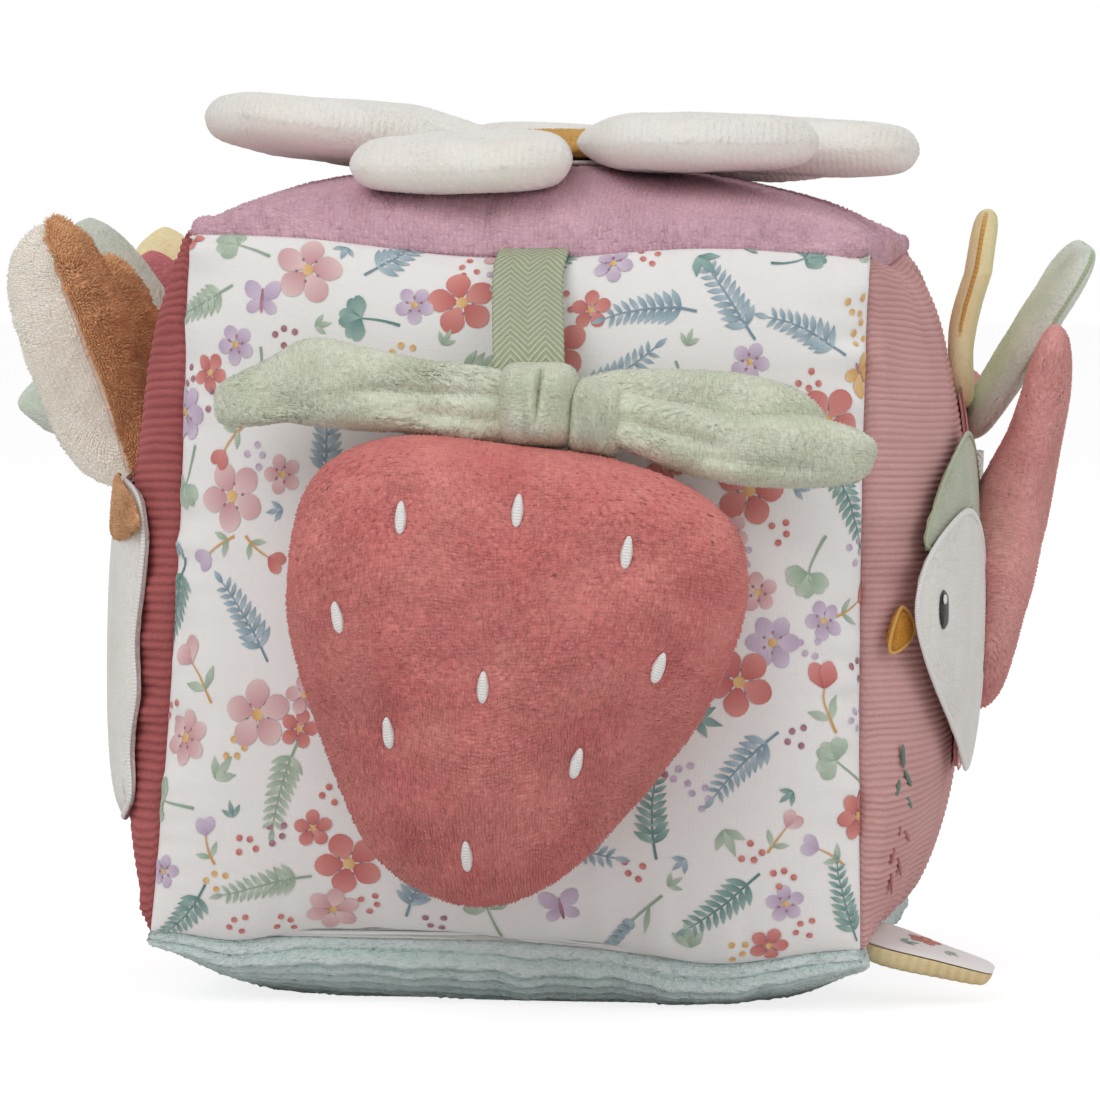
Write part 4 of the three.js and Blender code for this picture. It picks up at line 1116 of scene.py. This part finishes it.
class Press:
    """Prints flat motifs on a cloth that spot(x, y, lift) gives the points of."""

    def __init__(self, spot, seed):
        self.spot = spot
        self.chance = random.Random(seed)
        self.bm = bmesh.new()
        self.colour = self.bm.verts.layers.float_color.new("print")
        self.layer = PRINT_LIFT

    def lifted(self):
        """Each motif lies a hair above the last, so that none share a plane."""
        self.layer = PRINT_LIFT + (self.layer - PRINT_LIFT + 0.0031) % 0.09
        return self.layer

    def blot(self, x, y, turn, length, width, ink, pointed=0.0, narrow=0.0, bend=0.0):
        """A petal, leaf or dot that starts at x, y and runs out along turn."""
        deep, pale = (Vector(dye(code)) for code in INKS[ink])
        if self.chance.random() < 0.4:
            deep, pale = pale, deep.lerp(pale, 0.3)
        lift = self.lifted()
        across = max(3, round(width / 1.4))
        down = max(3, round(length / 1.4))
        for vert in bmesh.ops.create_grid(self.bm, x_segments=across, y_segments=down, size=1)["verts"]:
            s = vert.co.x
            side, along = rounded(s, vert.co.y)
            slim = 1 - pointed * max(0.0, along) ** 1.3 - narrow * max(0.0, -along)
            side *= width / 2 * slim
            run = (along + 1) / 2 * length
            side += bend * (run / length) ** 2 * length
            vert[self.colour] = deep.lerp(pale, clamp((along + 1) / 2 + 0.12 * s, 0, 1))
            px = x + math.cos(turn) * run - math.sin(turn) * side
            py = y + math.sin(turn) * run + math.cos(turn) * side
            vert.co = self.spot(px, py, lift)

    def stalk(self, x, y, turn, length, bend, ink, width=0.7):
        """A curved stem; gives back the points and directions along it."""
        steps = max(4, round(length / 1.8))
        line = []
        px, py, way = x, y, turn
        for k in range(steps + 1):
            line.append((px, py, way))
            way = turn + bend * k / steps
            px += math.cos(way) * length / steps
            py += math.sin(way) * length / steps
        deep, pale = (Vector(dye(code)) for code in INKS[ink])
        lift = self.lifted()
        for vert in bmesh.ops.create_grid(self.bm, x_segments=1, y_segments=steps, size=1)["verts"]:
            k = round((vert.co.y + 1) / 2 * steps)
            px, py, way = line[k]
            slim = width * (1 - 0.5 * k / steps) / 2 * vert.co.x
            vert[self.colour] = deep.lerp(pale, 0.3 * k / steps)
            vert.co = self.spot(px - math.sin(way) * slim, py + math.cos(way) * slim, lift)
        return line

    def rosette(self, x, y, turn, size, ink, count):
        width = size * (2.6 / count + 0.22)
        for k in range(count):
            way = turn + 2 * math.pi * k / count
            px, py = x + math.cos(way) * size * 0.13, y + math.sin(way) * size * 0.13
            self.blot(px, py, way, size * 0.86, width, ink, 0.0, 0.55)
        self.blot(x - size * 0.17, y, 0, size * 0.34, size * 0.34, "ochre")
        for k in range(count):
            way = turn + 2 * math.pi * (k + 0.5) / count
            px, py = x + math.cos(way) * size * 0.3, y + math.sin(way) * size * 0.3
            self.blot(px, py, way, 0.7, 0.7, "plum")

    def fern(self, x, y, turn, size, ink):
        line = self.stalk(x, y, turn, size * 1.9, self.chance.uniform(-0.7, 0.7), ink, 0.6)
        for k in range(2, len(line) - 1):
            px, py, way = line[k]
            long = size * 0.5 * (1 - 0.55 * k / len(line))
            for side in (1, -1):
                self.blot(px, py, way + side * 0.95, long, long * 0.36, ink, 0.75, 0.3)
        px, py, way = line[-1]
        self.blot(px, py, way, size * 0.32, size * 0.13, ink, 0.75, 0.3)

    def clover(self, x, y, turn, size, ink):
        line = self.stalk(x, y, turn, size * 0.95, self.chance.uniform(-0.5, 0.5), ink)
        px, py, way = line[-1]
        for side in (-1.15, 0, 1.15):
            for notch in (-0.2, 0.2):
                self.blot(px, py, way + side + notch, size * 0.56, size * 0.36, ink, 0.0, 0.7)

    def heart_bud(self, x, y, turn, size, ink):
        line = self.stalk(x, y, turn, size * 1.1, self.chance.uniform(-0.6, 0.6), "ochre", 0.6)
        px, py, way = line[-1]
        for notch in (-0.38, 0.38):
            self.blot(px, py, way + notch, size * 0.66, size * 0.46, ink, 0.0, 0.6)
        px, py, way = line[len(line) // 3]
        for side in (1, -1):
            self.blot(px, py, way + side * 0.85, size * 0.6, size * 0.22, "sage", 0.8, 0.4)

    def butterfly(self, x, y, turn, size, ink):
        for side in (1, -1):
            self.blot(x, y, turn + side * 0.75, size * 0.85, size * 0.55, ink, 0.0, 0.6)
            self.blot(x, y, turn + side * 2.15, size * 0.6, size * 0.42, ink, 0.0, 0.6)
        px, py = x - math.cos(turn) * size * 0.4, y - math.sin(turn) * size * 0.4
        self.blot(px, py, turn, size * 0.85, 0.9, "plum", 0.5)

    def lavender(self, x, y, turn, size, ink):
        line = self.stalk(x, y, turn, size * 1.9, self.chance.uniform(-0.4, 0.4), "sage", 0.6)
        for k in range(len(line) // 2, len(line)):
            px, py, way = line[k]
            for side in (1, -1):
                self.blot(px, py, way + side * 0.55, size * 0.26, size * 0.15, ink, 0.5)
        px, py, way = line[2]
        self.blot(px, py, way + 0.6, size * 0.8, size * 0.14, "sage", 0.85, 0.4)

    def leaf_trio(self, x, y, turn, size, ink):
        for side in (-0.75, 0, 0.75):
            self.blot(x, y, turn + side, size * (0.95 - 0.25 * abs(side)), size * 0.3, ink, 0.8, 0.5)

    def dots(self, x, y, turn, size, ink):
        for k in range(4):
            way = turn + 1.7 * k
            far = size * (0.2 + 0.16 * k)
            self.blot(x + math.cos(way) * far, y + math.sin(way) * far, way, 1.5, 1.5, ink)

    def scatter(self, wide, tall, tries):
        """Lays motifs at random, large ones first, where they don't meet."""
        kinds = [
            (10.5, 18, self.fern, ("teal", "sage", "blue")),
            (7.6, 9, lambda *a: self.rosette(*a, 5), ("rose", "coral")),
            (9.2, 22, self.clover, ("sage", "teal")),
            (9.0, 20, self.heart_bud, ("coral", "rose")),
            (9.0, 16, self.lavender, ("mauve", "blue")),
            (6.0, 20, lambda *a: self.rosette(*a, 6), ("rose", "coral", "mauve")),
            (6.8, 26, self.butterfly, ("blue", "mauve", "ochre")),
            (6.4, 70, self.heart_bud, ("coral", "rose", "mauve")),
            (6.6, 120, self.leaf_trio, ("teal", "sage")),
            (4.4, 170, lambda *a: self.rosette(*a, 5), ("rose", "coral", "mauve")),
            (4.2, 300, self.leaf_trio, ("teal", "sage", "blue")),
            (3.0, 800, self.dots, ("coral", "ochre", "plum", "mauve")),
        ]
        taken = []
        for size, share, motif, inks in kinds:
            room = size * 0.76 + 0.2
            for k in range(round(share * tries)):
                x = self.chance.uniform(-wide, wide)
                y = self.chance.uniform(-tall, tall)
                if any(math.hypot(x - a, y - b) < room + far for a, b, far in taken):
                    continue
                taken.append((x, y, room))
                turn = self.chance.uniform(0, 2 * math.pi)
                rooted = motif in (self.fern, self.lavender, self.heart_bud, self.clover)
                back = size * 0.9 if rooted else 0
                px, py = x - math.cos(turn) * back, y - math.sin(turn) * back
                motif(px, py, turn, size, self.chance.choice(inks))


def on_front(x, y, lift):
    x = clamp(x, -front_cloth.reach(False) - 1.2, front_cloth.reach(False) + 1.2)
    y = clamp(y, -front_cloth.reach(True) - 1.2, front_cloth.reach(True) + 1.2)
    return front_cloth.at(x, y, lift)


front_press = Press(on_front, 11)
front_press.scatter(front_cloth.reach(False) - 2, front_cloth.reach(True) - 2, 3.0)
finished("front_print", front_press.bm, "block", "printed_cotton")


# ---------------------------------------------------------------------------------------------
# Strawberry
# ---------------------------------------------------------------------------------------------


bm = strawberry.refined()


def berry_shape(point, rim, face):
    pull = 0.5 * noise.noise(Vector((point.x / 20, point.y / 20, face)))
    round_seam = Vector((math.atan2(point.y, point.x) * 9, face, 0))
    gather = 0.7 * noise.noise(round_seam) * max(0, rim - 0.75) * 4
    return raised(point, (pull + gather) * face * (1 - rim**6))


strawberry.placed(bm, berry_shape)
SEEDS = [
    (-15.5, 109, 0), (9, 110.5, 0.05), (32, 102, 0.12), (-29, 88, -0.2), (2.4, 74, 0.05), (38.5, 78, 0.35),
    (-18, 64, -0.1), (21.4, 58, 0.3), (-2, 38, 0),
]
SEED_HALF = (1.35, 3.5)
DIMPLE_DEPTH = 1.7
DIMPLE_RADIUS = 5
for vert in bm.verts:
    if vert.normal.y < 0:
        for x, z, lean in SEEDS:
            far = math.hypot(vert.co.x - x, (vert.co.z - z) * 0.6)
            if far < 14:
                vert.co.y += DIMPLE_DEPTH * math.exp(-((far / DIMPLE_RADIUS) ** 2))
bm.normal_update()
berry_surface = BVHTree.FromBMesh(bm)


def under_seed(face):
    spot = face.calc_center_median()
    reaches = [math.hypot(spot.x - x, (spot.z - z) * 0.45) for x, z, lean in SEEDS]
    return face.normal.y < 0 and min(reaches) < 1.3


raise_pile(bm, [f for f in bm.faces if not under_seed(f)], 0.55, (0.05, 0, -0.6), 0.4, 5)
nodes = ["strawberry_front", "strawberry_back"]
finished("strawberry_cover", bm, "strawberry", "strawberry_velour", nodes)


def berry_seed(number, x, z, lean):
    """A seed in satin stitch, its threads lying across it, in a small dimple."""
    bm = bmesh.new()
    ridge = bm.verts.layers.float.new("ridge")
    for vert in bmesh.ops.create_grid(bm, x_segments=8, y_segments=44, size=1)["verts"]:
        s, t = vert.co.x, vert.co.y
        side, along = (way * half for way, half in zip(rounded(s, t), SEED_HALF))
        side *= 1 - 0.25 * max(0, along / SEED_HALF[1])
        px = x + side * math.cos(lean) + along * math.sin(lean)
        pz = z - side * math.sin(lean) + along * math.cos(lean)
        hit, out, index, far = berry_surface.ray_cast(Vector((px, -160, pz)), Vector((0, 1, 0)))
        high = 0.5 + 0.5 * math.cos(t * math.pi * 11)
        vert[ridge] = high
        vert.co = hit + out * (0.2 + stitch_dome(s, t) * (1.0 + 0.14 * high))
    backed(bm, 0.3)
    finished(f"strawberry_seed_{number}", bm, "strawberry", "white_thread", slot="white_tape")


for number, (x, z, lean) in enumerate(SEEDS, 1):
    berry_seed(number, x, z, lean)


# ---------------------------------------------------------------------------------------------
# Knot, leaves and ribbon
# ---------------------------------------------------------------------------------------------

def knot_shape(point, rim, face):
    away = point.x - 0.5 - 0.08 * point.y
    groove = 2.6 * math.exp(-((away / 0.7) ** 2)) * clamp((point.y + 6) / 6, 0, 1)
    folds = 0.4 * math.cos(2 * math.pi * (point.x + 0.15 * point.y) / 5.2)
    return raised(point, (folds - groove) * face * (1 - rim**4))


def fold_shape(point, rim, face):
    folds = 0.5 * math.cos(2 * math.pi * (point.x + 0.2 * point.y) / 4.4)
    return raised(point, folds * face * (1 - rim**4))


for pad, nodes, shape, seed in ((knot, ["leaf_knot"], knot_shape, 6), (knot_fold, [], fold_shape, 8)):
    stuffed(pad, "strawberry", "leaf_plush", nodes, shape, 0.42, (0, 0, -0.2), 0.3, seed, 3)


def crease(point, start, end, width, depth):
    """A fold pressed into a pad along a line, which fades out at its ends."""
    a = Vector(start)
    run = Vector(end) - a
    flat = Vector((point.x, point.y)) - a
    share = flat.dot(run) / run.length_squared
    away = (flat - run * clamp(share, 0, 1)).length
    fade = clamp(min(share + 0.15, 1.1 - share) / 0.2, 0, 1)
    return depth * math.exp(-((away / width) ** 2)) * fade


def left_leaf_shape(point, rim, face):
    deep = crease(point, (-6, 1), (24, -1.2), 1.3, 1.2) + crease(point, (20, -1.2), (46, 2.5), 2.0, 0.6)
    deep += crease(point, (-6, 6.5), (12, 4.2), 1.2, 0.8)
    lump = 0.7 * noise.noise(point / 9)
    return raised(point, (lump - deep) * face * (1 - rim**4))


def right_leaf_shape(point, rim, face):
    deep = crease(point, (2, 0), (30, -4.5), 1.5, 1.2) + crease(point, (26, -7), (56, -7.5), 1.5, 0.9)
    lump = 0.7 * noise.noise(point / 8)
    return raised(point, (lump - deep) * face * (1 - rim**4))


for pad, body, shape, nodes, nap in (
    (leaf_left, "leaf_left", left_leaf_shape, ["leaf_left"], -0.3),
    (leaf_right, "leaf_right", right_leaf_shape, ["leaf_right"], 0.3),
    (leaf_right_back, "leaf_right", None, [], 0.3),
):
    stuffed(pad, body, "leaf_plush", nodes, shape, 0.5, (nap, 0, -0.2), 0.3, 7)


def tape(name, path, width, thickness, across, body, finish, node):
    """A flat woven tape along a path, its edges a little proud as a selvedge is."""
    runs = run_lengths(path)
    bm = bmesh.new()
    wide = bm.verts.layers.float.new("tape_across")
    long = bm.verts.layers.float.new("tape_along")
    rows = max(20, round(runs[-1] / 0.7))
    side = Vector(across)
    for vert in bmesh.ops.create_grid(bm, x_segments=24, y_segments=rows, size=1)["verts"]:
        spot = (vert.co.y + 1) / 2 * runs[-1]
        i, part = leg(runs, spot)
        along = (path[i + 1] - path[i]).normalized()
        out = side.cross(along).normalized()
        vert[wide] = vert.co.x * width / 2 + WEAVE_START
        vert[long] = spot
        edge = 0.18 * math.exp(-(((1 - abs(vert.co.x)) / 0.06) ** 2))
        ripple = 0.15 * noise.noise(Vector((vert.co.x * 2, spot / 6, 3)))
        middle = path[i].lerp(path[i + 1], part)
        vert.co = middle + side * vert.co.x * width / 2 + out * (edge + ripple)
    backed(bm, thickness)
    return finished(name, bm, body, finish, [node]), runs[-1]


WEAVE_START = 52.5  # so that the weave's columns count up from a seam between two of them
RIBBON_WIDTH = 15
RIBBON_U = 0.018
ribbon_path = smooth_outline(
    [
        skin("front", RIBBON_U, 1) + Vector((0, 1.4, 1.6)),
        skin("front", RIBBON_U, 0.995, -0.7),
        skin("front", RIBBON_U, 0.97, -1.2),
        skin("front", RIBBON_U, 0.93, -1.8),
        skin("front", RIBBON_U + 0.005, 0.88, -3.0),
        Vector((8.8, KNOT_Y + 2, KNOT_Z + 7)),
        Vector((9.2, KNOT_Y + 1, KNOT_Z - 2)),
    ],
    False,
    9,
)
item, length = tape(
    "ribbon_tape", ribbon_path, RIBBON_WIDTH, 0.9, (1, 0, 0), "ribbon", "sage_tape", "ribbon"
)


# ---------------------------------------------------------------------------------------------
# Flower on the top
# ---------------------------------------------------------------------------------------------


def petal_shape(point, rim, face):
    ribs = 0.3 * math.cos(2 * math.pi * point.y / 2.4) if face < 0 else 0.0
    channel = 0.9 * math.exp(-(((rim - 1) / 0.05) ** 2))
    lump = 0.6 * noise.noise(point / 12)
    point.z *= 0.35 + 0.65 * math.sin(math.pi / 2 * clamp(point.x / 32, 0, 1))
    return raised(point, (lump - channel * 0.4) * face * (1 - rim**5) + ribs * (1 - rim**4))


for number, pad in enumerate(petals, 1):
    bm = pad.refined()
    pad.placed(bm, petal_shape)
    face = bm.verts.layers.float["face"]
    upper = [f for f in bm.faces if sum(v[face] for v in f.verts) > -1.5]
    raise_pile(bm, upper, 0.2, (0.1, -0.1, -0.1), 0.4, 20 + number)
    petal = f"petal_{number}"
    finished(pad.name, bm, petal, "petal_plush", [petal])

stuffed(button, "block", "ochre_velour", ["flower_centre"], None, 0.6, (0, 0, 0), 0.4, 31)

bm = bmesh.new()
two_sheets(bm, round_outline(18.5), FLOWER_BASE_RISE, FLOWER_BASE_RISE, 2.0, 8)
bmesh.ops.translate(bm, verts=bm.verts, vec=(FLOWER_X, 0, FLOWER_BASE_Z + FLOWER_BASE_RISE))
finished("flower_backing", bm, "block", "cream_applique", ["flower_base"], "petal_plush")


# ---------------------------------------------------------------------------------------------
# Bird on the right
# ---------------------------------------------------------------------------------------------

BODY_PATCH = 1.3  # thickness of the bird's body, and of the beak
FACE_LIFT = SKIN_LIFT + BODY_PATCH + SEWN_GAP
for piece, shares, lift, thickness, cloth, step, edge_share, stitches in (
    ("body", BIRD_BODY, SKIN_LIFT, BODY_PATCH, "wing_velour", 1.3, 0.5, (1.0, 0.2, "wing_thread", 0.8)),
    ("cap", BIRD_CAP, FACE_LIFT, 1.1, "cap_cloth", 1.3, 0.5, (1.2, 0.4, "cap_thread", 0.55)),
    ("face", BIRD_FACE, FACE_LIFT + 1.3, 1.4, "cream_applique", 1.3, 0.2, (1.6, 0.6, "white_thread", 0.55)),
    ("beak", BIRD_BEAK, SKIN_LIFT, BODY_PATCH, "beak_cloth", 1.0, 0.5, (0.9, 0.4, "seam_thread", 0.45)),
):
    name = f"bird_{piece}"
    edge, outs = applique(
        f"{name}_patch", "right", shares, lift, thickness, cloth, [name], step, 0.2, edge_share
    )
    width, height, yarn, pitch = stitches
    satin(f"{name}_edge", edge, outs, width, height, "block", yarn, pitch)


def stitched_oval(name, side, u, v, lift, width, height, finish, turn=0.0, rise=0.7):
    """A small oval filled with satin stitches, on a side of the block."""
    bm = bmesh.new()
    ridge = bm.verts.layers.float.new("ridge")
    out = skin_out(side, u, v)
    place = frame_at(skin(side, u, v, -lift), (0, 0, 1), out)
    threads = max(5, round(height / 0.5))
    for vert in bmesh.ops.create_grid(bm, x_segments=10, y_segments=3 * threads, size=1)["verts"]:
        s, t = vert.co.x, vert.co.y
        x, y = rounded(s, t)
        x *= width / 2
        y *= height / 2
        high = 0.5 + 0.5 * math.cos(math.pi * t * threads)
        vert[ridge] = high
        along = y * math.cos(turn) + x * math.sin(turn)
        across = y * math.sin(turn) - x * math.cos(turn)
        vert.co = place @ Vector((along, across, stitch_dome(s, t) * (rise + 0.1 * high)))
    backed(bm, 0.3)
    finished(name, bm, "block", finish, slot="white_tape")


EYE_LIFT = FACE_LIFT + 2.7
stitched_oval("bird_eye", "right", -0.8, -0.03, EYE_LIFT, 4.8, 8.6, "dark_thread")
stitched_oval("bird_eye_glint", "right", -0.815, 0.0, EYE_LIFT + 0.7, 1.5, 2.2, "white_thread", 0, 0.4)
SPRIG = [
    (-0.9, -0.46, 0.1), (-0.86, -0.53, 0.8), (-0.92, -0.56, -0.5), (-0.84, -0.6, 0.9), (-0.89, -0.66, 0.1),
    (-0.82, -0.7, 1.0), (-0.91, -0.74, -0.4), (-0.84, -0.79, 0.5), (-0.89, -0.83, 0.0),
]
for number, (u, v, turn) in enumerate(SPRIG, 1):
    yarn = "green_thread" if number < 5 else "red_thread"
    stitched_oval(f"sprig_leaf_{number}", "right", u, v, SKIN_LIFT, 1.6, 5.4, yarn, turn, 0.3)


def wing_shape(point, rim, face):
    """The wing is fullest over its middle, on the side that rests on the bird."""
    if point.z < 0:
        point.z *= 1 + 1.4 * math.exp(-(((point.x - 42) / 17) ** 2))
    lump = 0.6 * noise.noise(point / 14)
    deep = crease(point, (30, 5), (66, 9), 1.3, 0.9) + crease(point, (20, -4), (48, -9), 1.3, 0.7)
    return raised(point, (lump - deep) * face * (1 - rim**5))


stuffed(wing, "wing", "wing_velour", ["wing"], wing_shape, 0.45, (0, 0, -0.4), 0.3, 41)


def tab_piece(pad, finish, curl=0.0, seed=50, wave=0.0):
    """A padded tab; gives back the line of its seam."""
    body = pad.name.removesuffix("_cover")
    length = pad.outline.half.x * 2

    def bowed(x):
        return curl * (x / length) ** 2 - wave * math.sin(math.pi * clamp(x / 30, 0, 1))

    def shape(point, rim, face):
        return raised(point, bowed(point.x) + 0.3 * noise.noise(point / 8) * face * (1 - rim**4))

    stuffed(pad, body, finish, [body], shape, 0.22, (0, 0, 0), 0.3, seed)
    edge = []
    outs = []
    for p in pad.outline.points[::3]:
        way = (p - pad.outline.centre).normalized()
        edge.append(pad.place @ Vector((p.x, p.y, bowed(p.x))))
        outs.append((pad.place.to_3x3() @ Vector((way.x, way.y, 0))).normalized())
    return edge, outs


edge, outs = tab_piece(tail_yellow, "tab_yellow", 5.0, 50, 2.0)
satin("tail_yellow_seam", edge, outs, 1.0, 0.25, "tail_tab_yellow", "seam_thread", 1.1)
edge, outs = tab_piece(tail_green, "tab_green")
satin("tail_green_seam", edge, outs, 0.9, 0.3, "tail_tab_green", "cap_thread", 1.1)
tab_piece(tail_pink, "tab_pink")


# ---------------------------------------------------------------------------------------------
# Rabbit on the left, with the fan of tabs behind it
# ---------------------------------------------------------------------------------------------

edge, outs = applique(
    "rabbit_head_patch", "left", RABBIT_HEAD, SKIN_LIFT, 3.2, "cream_applique", ["rabbit_head"],
    1.2, 0.12, 0.1,
)
satin("rabbit_head_edge", edge, outs, 1.7, 0.7, "block", "white_thread", 0.8)
applique(
    "rabbit_patch_piece", "left", RABBIT_PATCH, SKIN_LIFT + 2.4, 1.1, "ear_brown_plush", ["rabbit_patch"],
    0.7, 0.5, 0.1,
)
HEAD_LIFT = 3.7
for side in (1, -1):
    number = side + 2
    stitched_oval(f"rabbit_eye_{number}", "left", 0.2 * side, -0.02, HEAD_LIFT, 5.0, 6.0, "dark_thread")
    stitched_oval(
        f"rabbit_cheek_{number}", "left", 0.33 * side, -0.2, HEAD_LIFT, 7.0, 5.0, "red_thread", 0, 0.4
    )
stitched_oval("rabbit_nose", "left", 0, -0.17, HEAD_LIFT, 7.0, 4.6, "brown_thread")


def ear_shape(curl):
    def shape(point, rim, face):
        bow = curl * (point.x / 61) ** 2 + 0.5 * noise.noise(point / 11) * (1 - rim)
        clumps = 0.5 * noise.noise(point / 3.2) * face
        return raised(point, bow + clumps)

    return shape


# by half: which face is hairy, how long its fur is, and the way it lies
FURS = {"cream": (1, 1.3, (-0.2, -0.1, -0.7)), "brown": (-1, 2.1, (0.1, -0.1, -0.3))}
for seed, (body, half, curl, pad) in enumerate(ears, 60):
    bm = pad.refined(3)
    pad.placed(bm, ear_shape(curl))
    face = bm.verts.layers.float["face"]
    outward, length, lean = FURS[half]
    hairy = [f for f in bm.faces if sum(v[face] for v in f.verts) * outward > -1]
    comb_fur(bm, hairy, length, lean, seed)
    finished(pad.name, bm, body, f"ear_{half}_plush", [f"{body}_{half}"])

for seed, (finish, pad) in enumerate(fan, 70):
    tab_piece(pad, finish, 0.0, seed)


# ---------------------------------------------------------------------------------------------
# Corner flap and tape loop
# ---------------------------------------------------------------------------------------------

bm = flap_top.refined()
flap_top.placed(bm)
print_white(bm)
flap_surface = BVHTree.FromBMesh(bm)
finished("flap_top_cover", bm, "flap", "printed_cotton", ["flap_top"])


def on_flap(x, y, lift):
    spot = flap_top.place @ Vector((x + 13, y, 0))
    hit, out, index, far = flap_surface.ray_cast(spot + Vector((0, 0, 20)), Vector((0, 0, -1)))
    return (hit if hit else spot) + Vector((0, 0, lift))


flap_press = Press(on_flap, 4)
flap_press.leaf_trio(-7, -4, 0.4, 5, "teal")
flap_press.rosette(-2, 3.5, 0.2, 4, "coral", 5)
flap_press.leaf_trio(3, -2, -0.3, 4, "sage")
finished("flap_print", flap_press.bm, "flap", "printed_cotton")

bm = flap_under.refined()


FLAP_RIB = 2.2  # pitch of the ribs under the flap


def flap_ribs(point, rim, face):
    ribs = 0.07 * math.cos(2 * math.pi * point.x / FLAP_RIB) if face < 0 else 0.0
    return Vector((point.x, point.y, point.z * (1 - 0.3 * point.x / 27) + ribs * (1 - rim**6)))


flap_under.placed(bm, flap_ribs)
# painted shade between the ribs under the flap: the share is 0 in each groove, 1 on each rib
wale_shade = bm.verts.layers.float.new("wale_shade")
for vert in bm.verts:
    spot = flap_under.place.inverted() @ vert.co
    vert[wale_shade] = 0.5 - 0.5 * math.cos(2 * math.pi * spot.x / FLAP_RIB)
finished("flap_under_cover", bm, "flap", "flap_ribbed", ["flap_underside"])

LOOP_WIDTH = 12.5
LOOP_BEND = 1.15  # radius of the tape's turn
LOOP_REACH = 18.4
loop_seam = skin("right", 1, 0.3)
loop_path = []
for k in range(31):
    if k < 10:
        loop_path.append(Vector((0.3 + LOOP_REACH * k / 10, 2 * LOOP_BEND, 0)))
    elif k <= 20:
        turn = math.pi * (k - 10) / 10
        x = LOOP_REACH + 0.3 + LOOP_BEND * math.sin(turn)
        loop_path.append(Vector((x, LOOP_BEND + LOOP_BEND * math.cos(turn), 0)))
    else:
        loop_path.append(Vector((LOOP_REACH + 0.3 - LOOP_REACH * (k - 20) / 10, 0, 0)))
corner = Vector((loop_seam.x + 0.3, loop_seam.y + 0.75, loop_seam.z))
loop_path = [corner + p for p in loop_path]
item, length = tape(
    "white_tape_loop", loop_path, LOOP_WIDTH, 0.8, (0, 0, 1), "block", "white_tape", "tape_loop"
)


# ---------------------------------------------------------------------------------------------
# What stays as it was packed: filling and rattle
# ---------------------------------------------------------------------------------------------

for node, finish in {
    "stuffing_front": "fibre_filling",
    "stuffing_back": "fibre_filling",
    "strawberry_stuffing": "fibre_filling",
    "rattle_cup_upper": "rattle_plastic",
    "rattle_cup_lower": "rattle_plastic",
    "rattle_ball_1": "rattle_ball_plastic",
    "rattle_ball_2": "rattle_ball_plastic",
    "rattle_ball_3": "rattle_ball_plastic",
}.items():
    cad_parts[node].material_slots[0].material = FINISHES[finish]


# ---------------------------------------------------------------------------------------------
# Floor, light and camera
# ---------------------------------------------------------------------------------------------


WHITE_LIGHT = (1, 1, 1, 1)
PHOTO_WIDTH = 1100
FOCAL_PIXELS = 5643
CAMERA_TURN = 7  # degrees to the right of square
CAMERA_CLIMB = 3
CAMERA_FAR = 1.3


def stood(name, data, place, looks_back_along):
    """Stands a lamp or a camera at a place, looking the other way from a direction."""
    item = bpy.data.objects.new(name, data)
    item.location = place
    item.rotation_euler = looks_back_along.to_track_quat("Z", "Y").to_euler()
    bpy.context.scene.collection.objects.link(item)
    return item


bm = bmesh.new()
bmesh.ops.create_circle(bm, cap_ends=True, segments=64, radius=12)
mesh = bpy.data.meshes.new("studio_floor")
bm.to_mesh(mesh)
bm.free()
floor = bpy.data.objects.new("studio_floor", mesh)
bpy.context.scene.collection.objects.link(floor)
paper = Finish("white_paper", {"Base Color": (0.8, 0.8, 0.8, 1), "Roughness": 0.9, "Specular IOR Level": 0})
glow = paper.add("ShaderNodeEmission", {}, {"Color": WHITE_LIGHT, "Strength": 1.36})
matt = Shade(paper, paper.shader.outputs[0])
paper.shown_to(paper.ray("Is Camera Ray") * 0.6, matt, glow, "Material Output")
mesh.materials.append(paper.material)

world = bpy.data.worlds.new("studio")
bpy.context.scene.world = world
world.use_nodes = True
sky = Nodes(world.node_tree)
background = sky.nodes["Background"]
sky.feed(background.inputs["Color"], WHITE_LIGHT)
sky.feed(background.inputs["Strength"], 0.5)
white = sky.add("ShaderNodeBackground", {}, {"Color": WHITE_LIGHT, "Strength": 1.0})
rays = sky.ray("Is Camera Ray")
for kind in ("Is Glossy Ray", "Is Transmission Ray"):
    rays = rays.joined("MAXIMUM", rays, sky.ray(kind))
sky.shown_to(rays, Shade(sky, background.outputs[0]), white, "World Output")

for name, place, power in (
    ("key", (-0.9, -1.7, 1.9), 21),
    ("fill", (1.7, -1.2, 1.0), 8),
    ("rear", (0.2, 1.9, 1.6), 10),
):
    lamp = bpy.data.lights.new(name, "AREA")
    lamp.energy = power
    lamp.size = 1.6
    stood(name, lamp, place, Vector(place) - Vector((0, 0, 0.09)))

lens = bpy.data.cameras.new("camera")
lens.sensor_width = 36
lens.lens = lens.sensor_width * FOCAL_PIXELS / PHOTO_WIDTH
turn = math.radians(CAMERA_TURN)
climb = math.radians(CAMERA_CLIMB)
back = Vector((math.sin(turn) * math.cos(climb), -math.cos(turn) * math.cos(climb), math.sin(climb)))
camera = stood("camera", lens, Vector((0.0009, 0, 0.096)) + back * CAMERA_FAR, back)
bpy.context.scene.camera = camera
bpy.context.scene.view_settings.view_transform = "Standard"
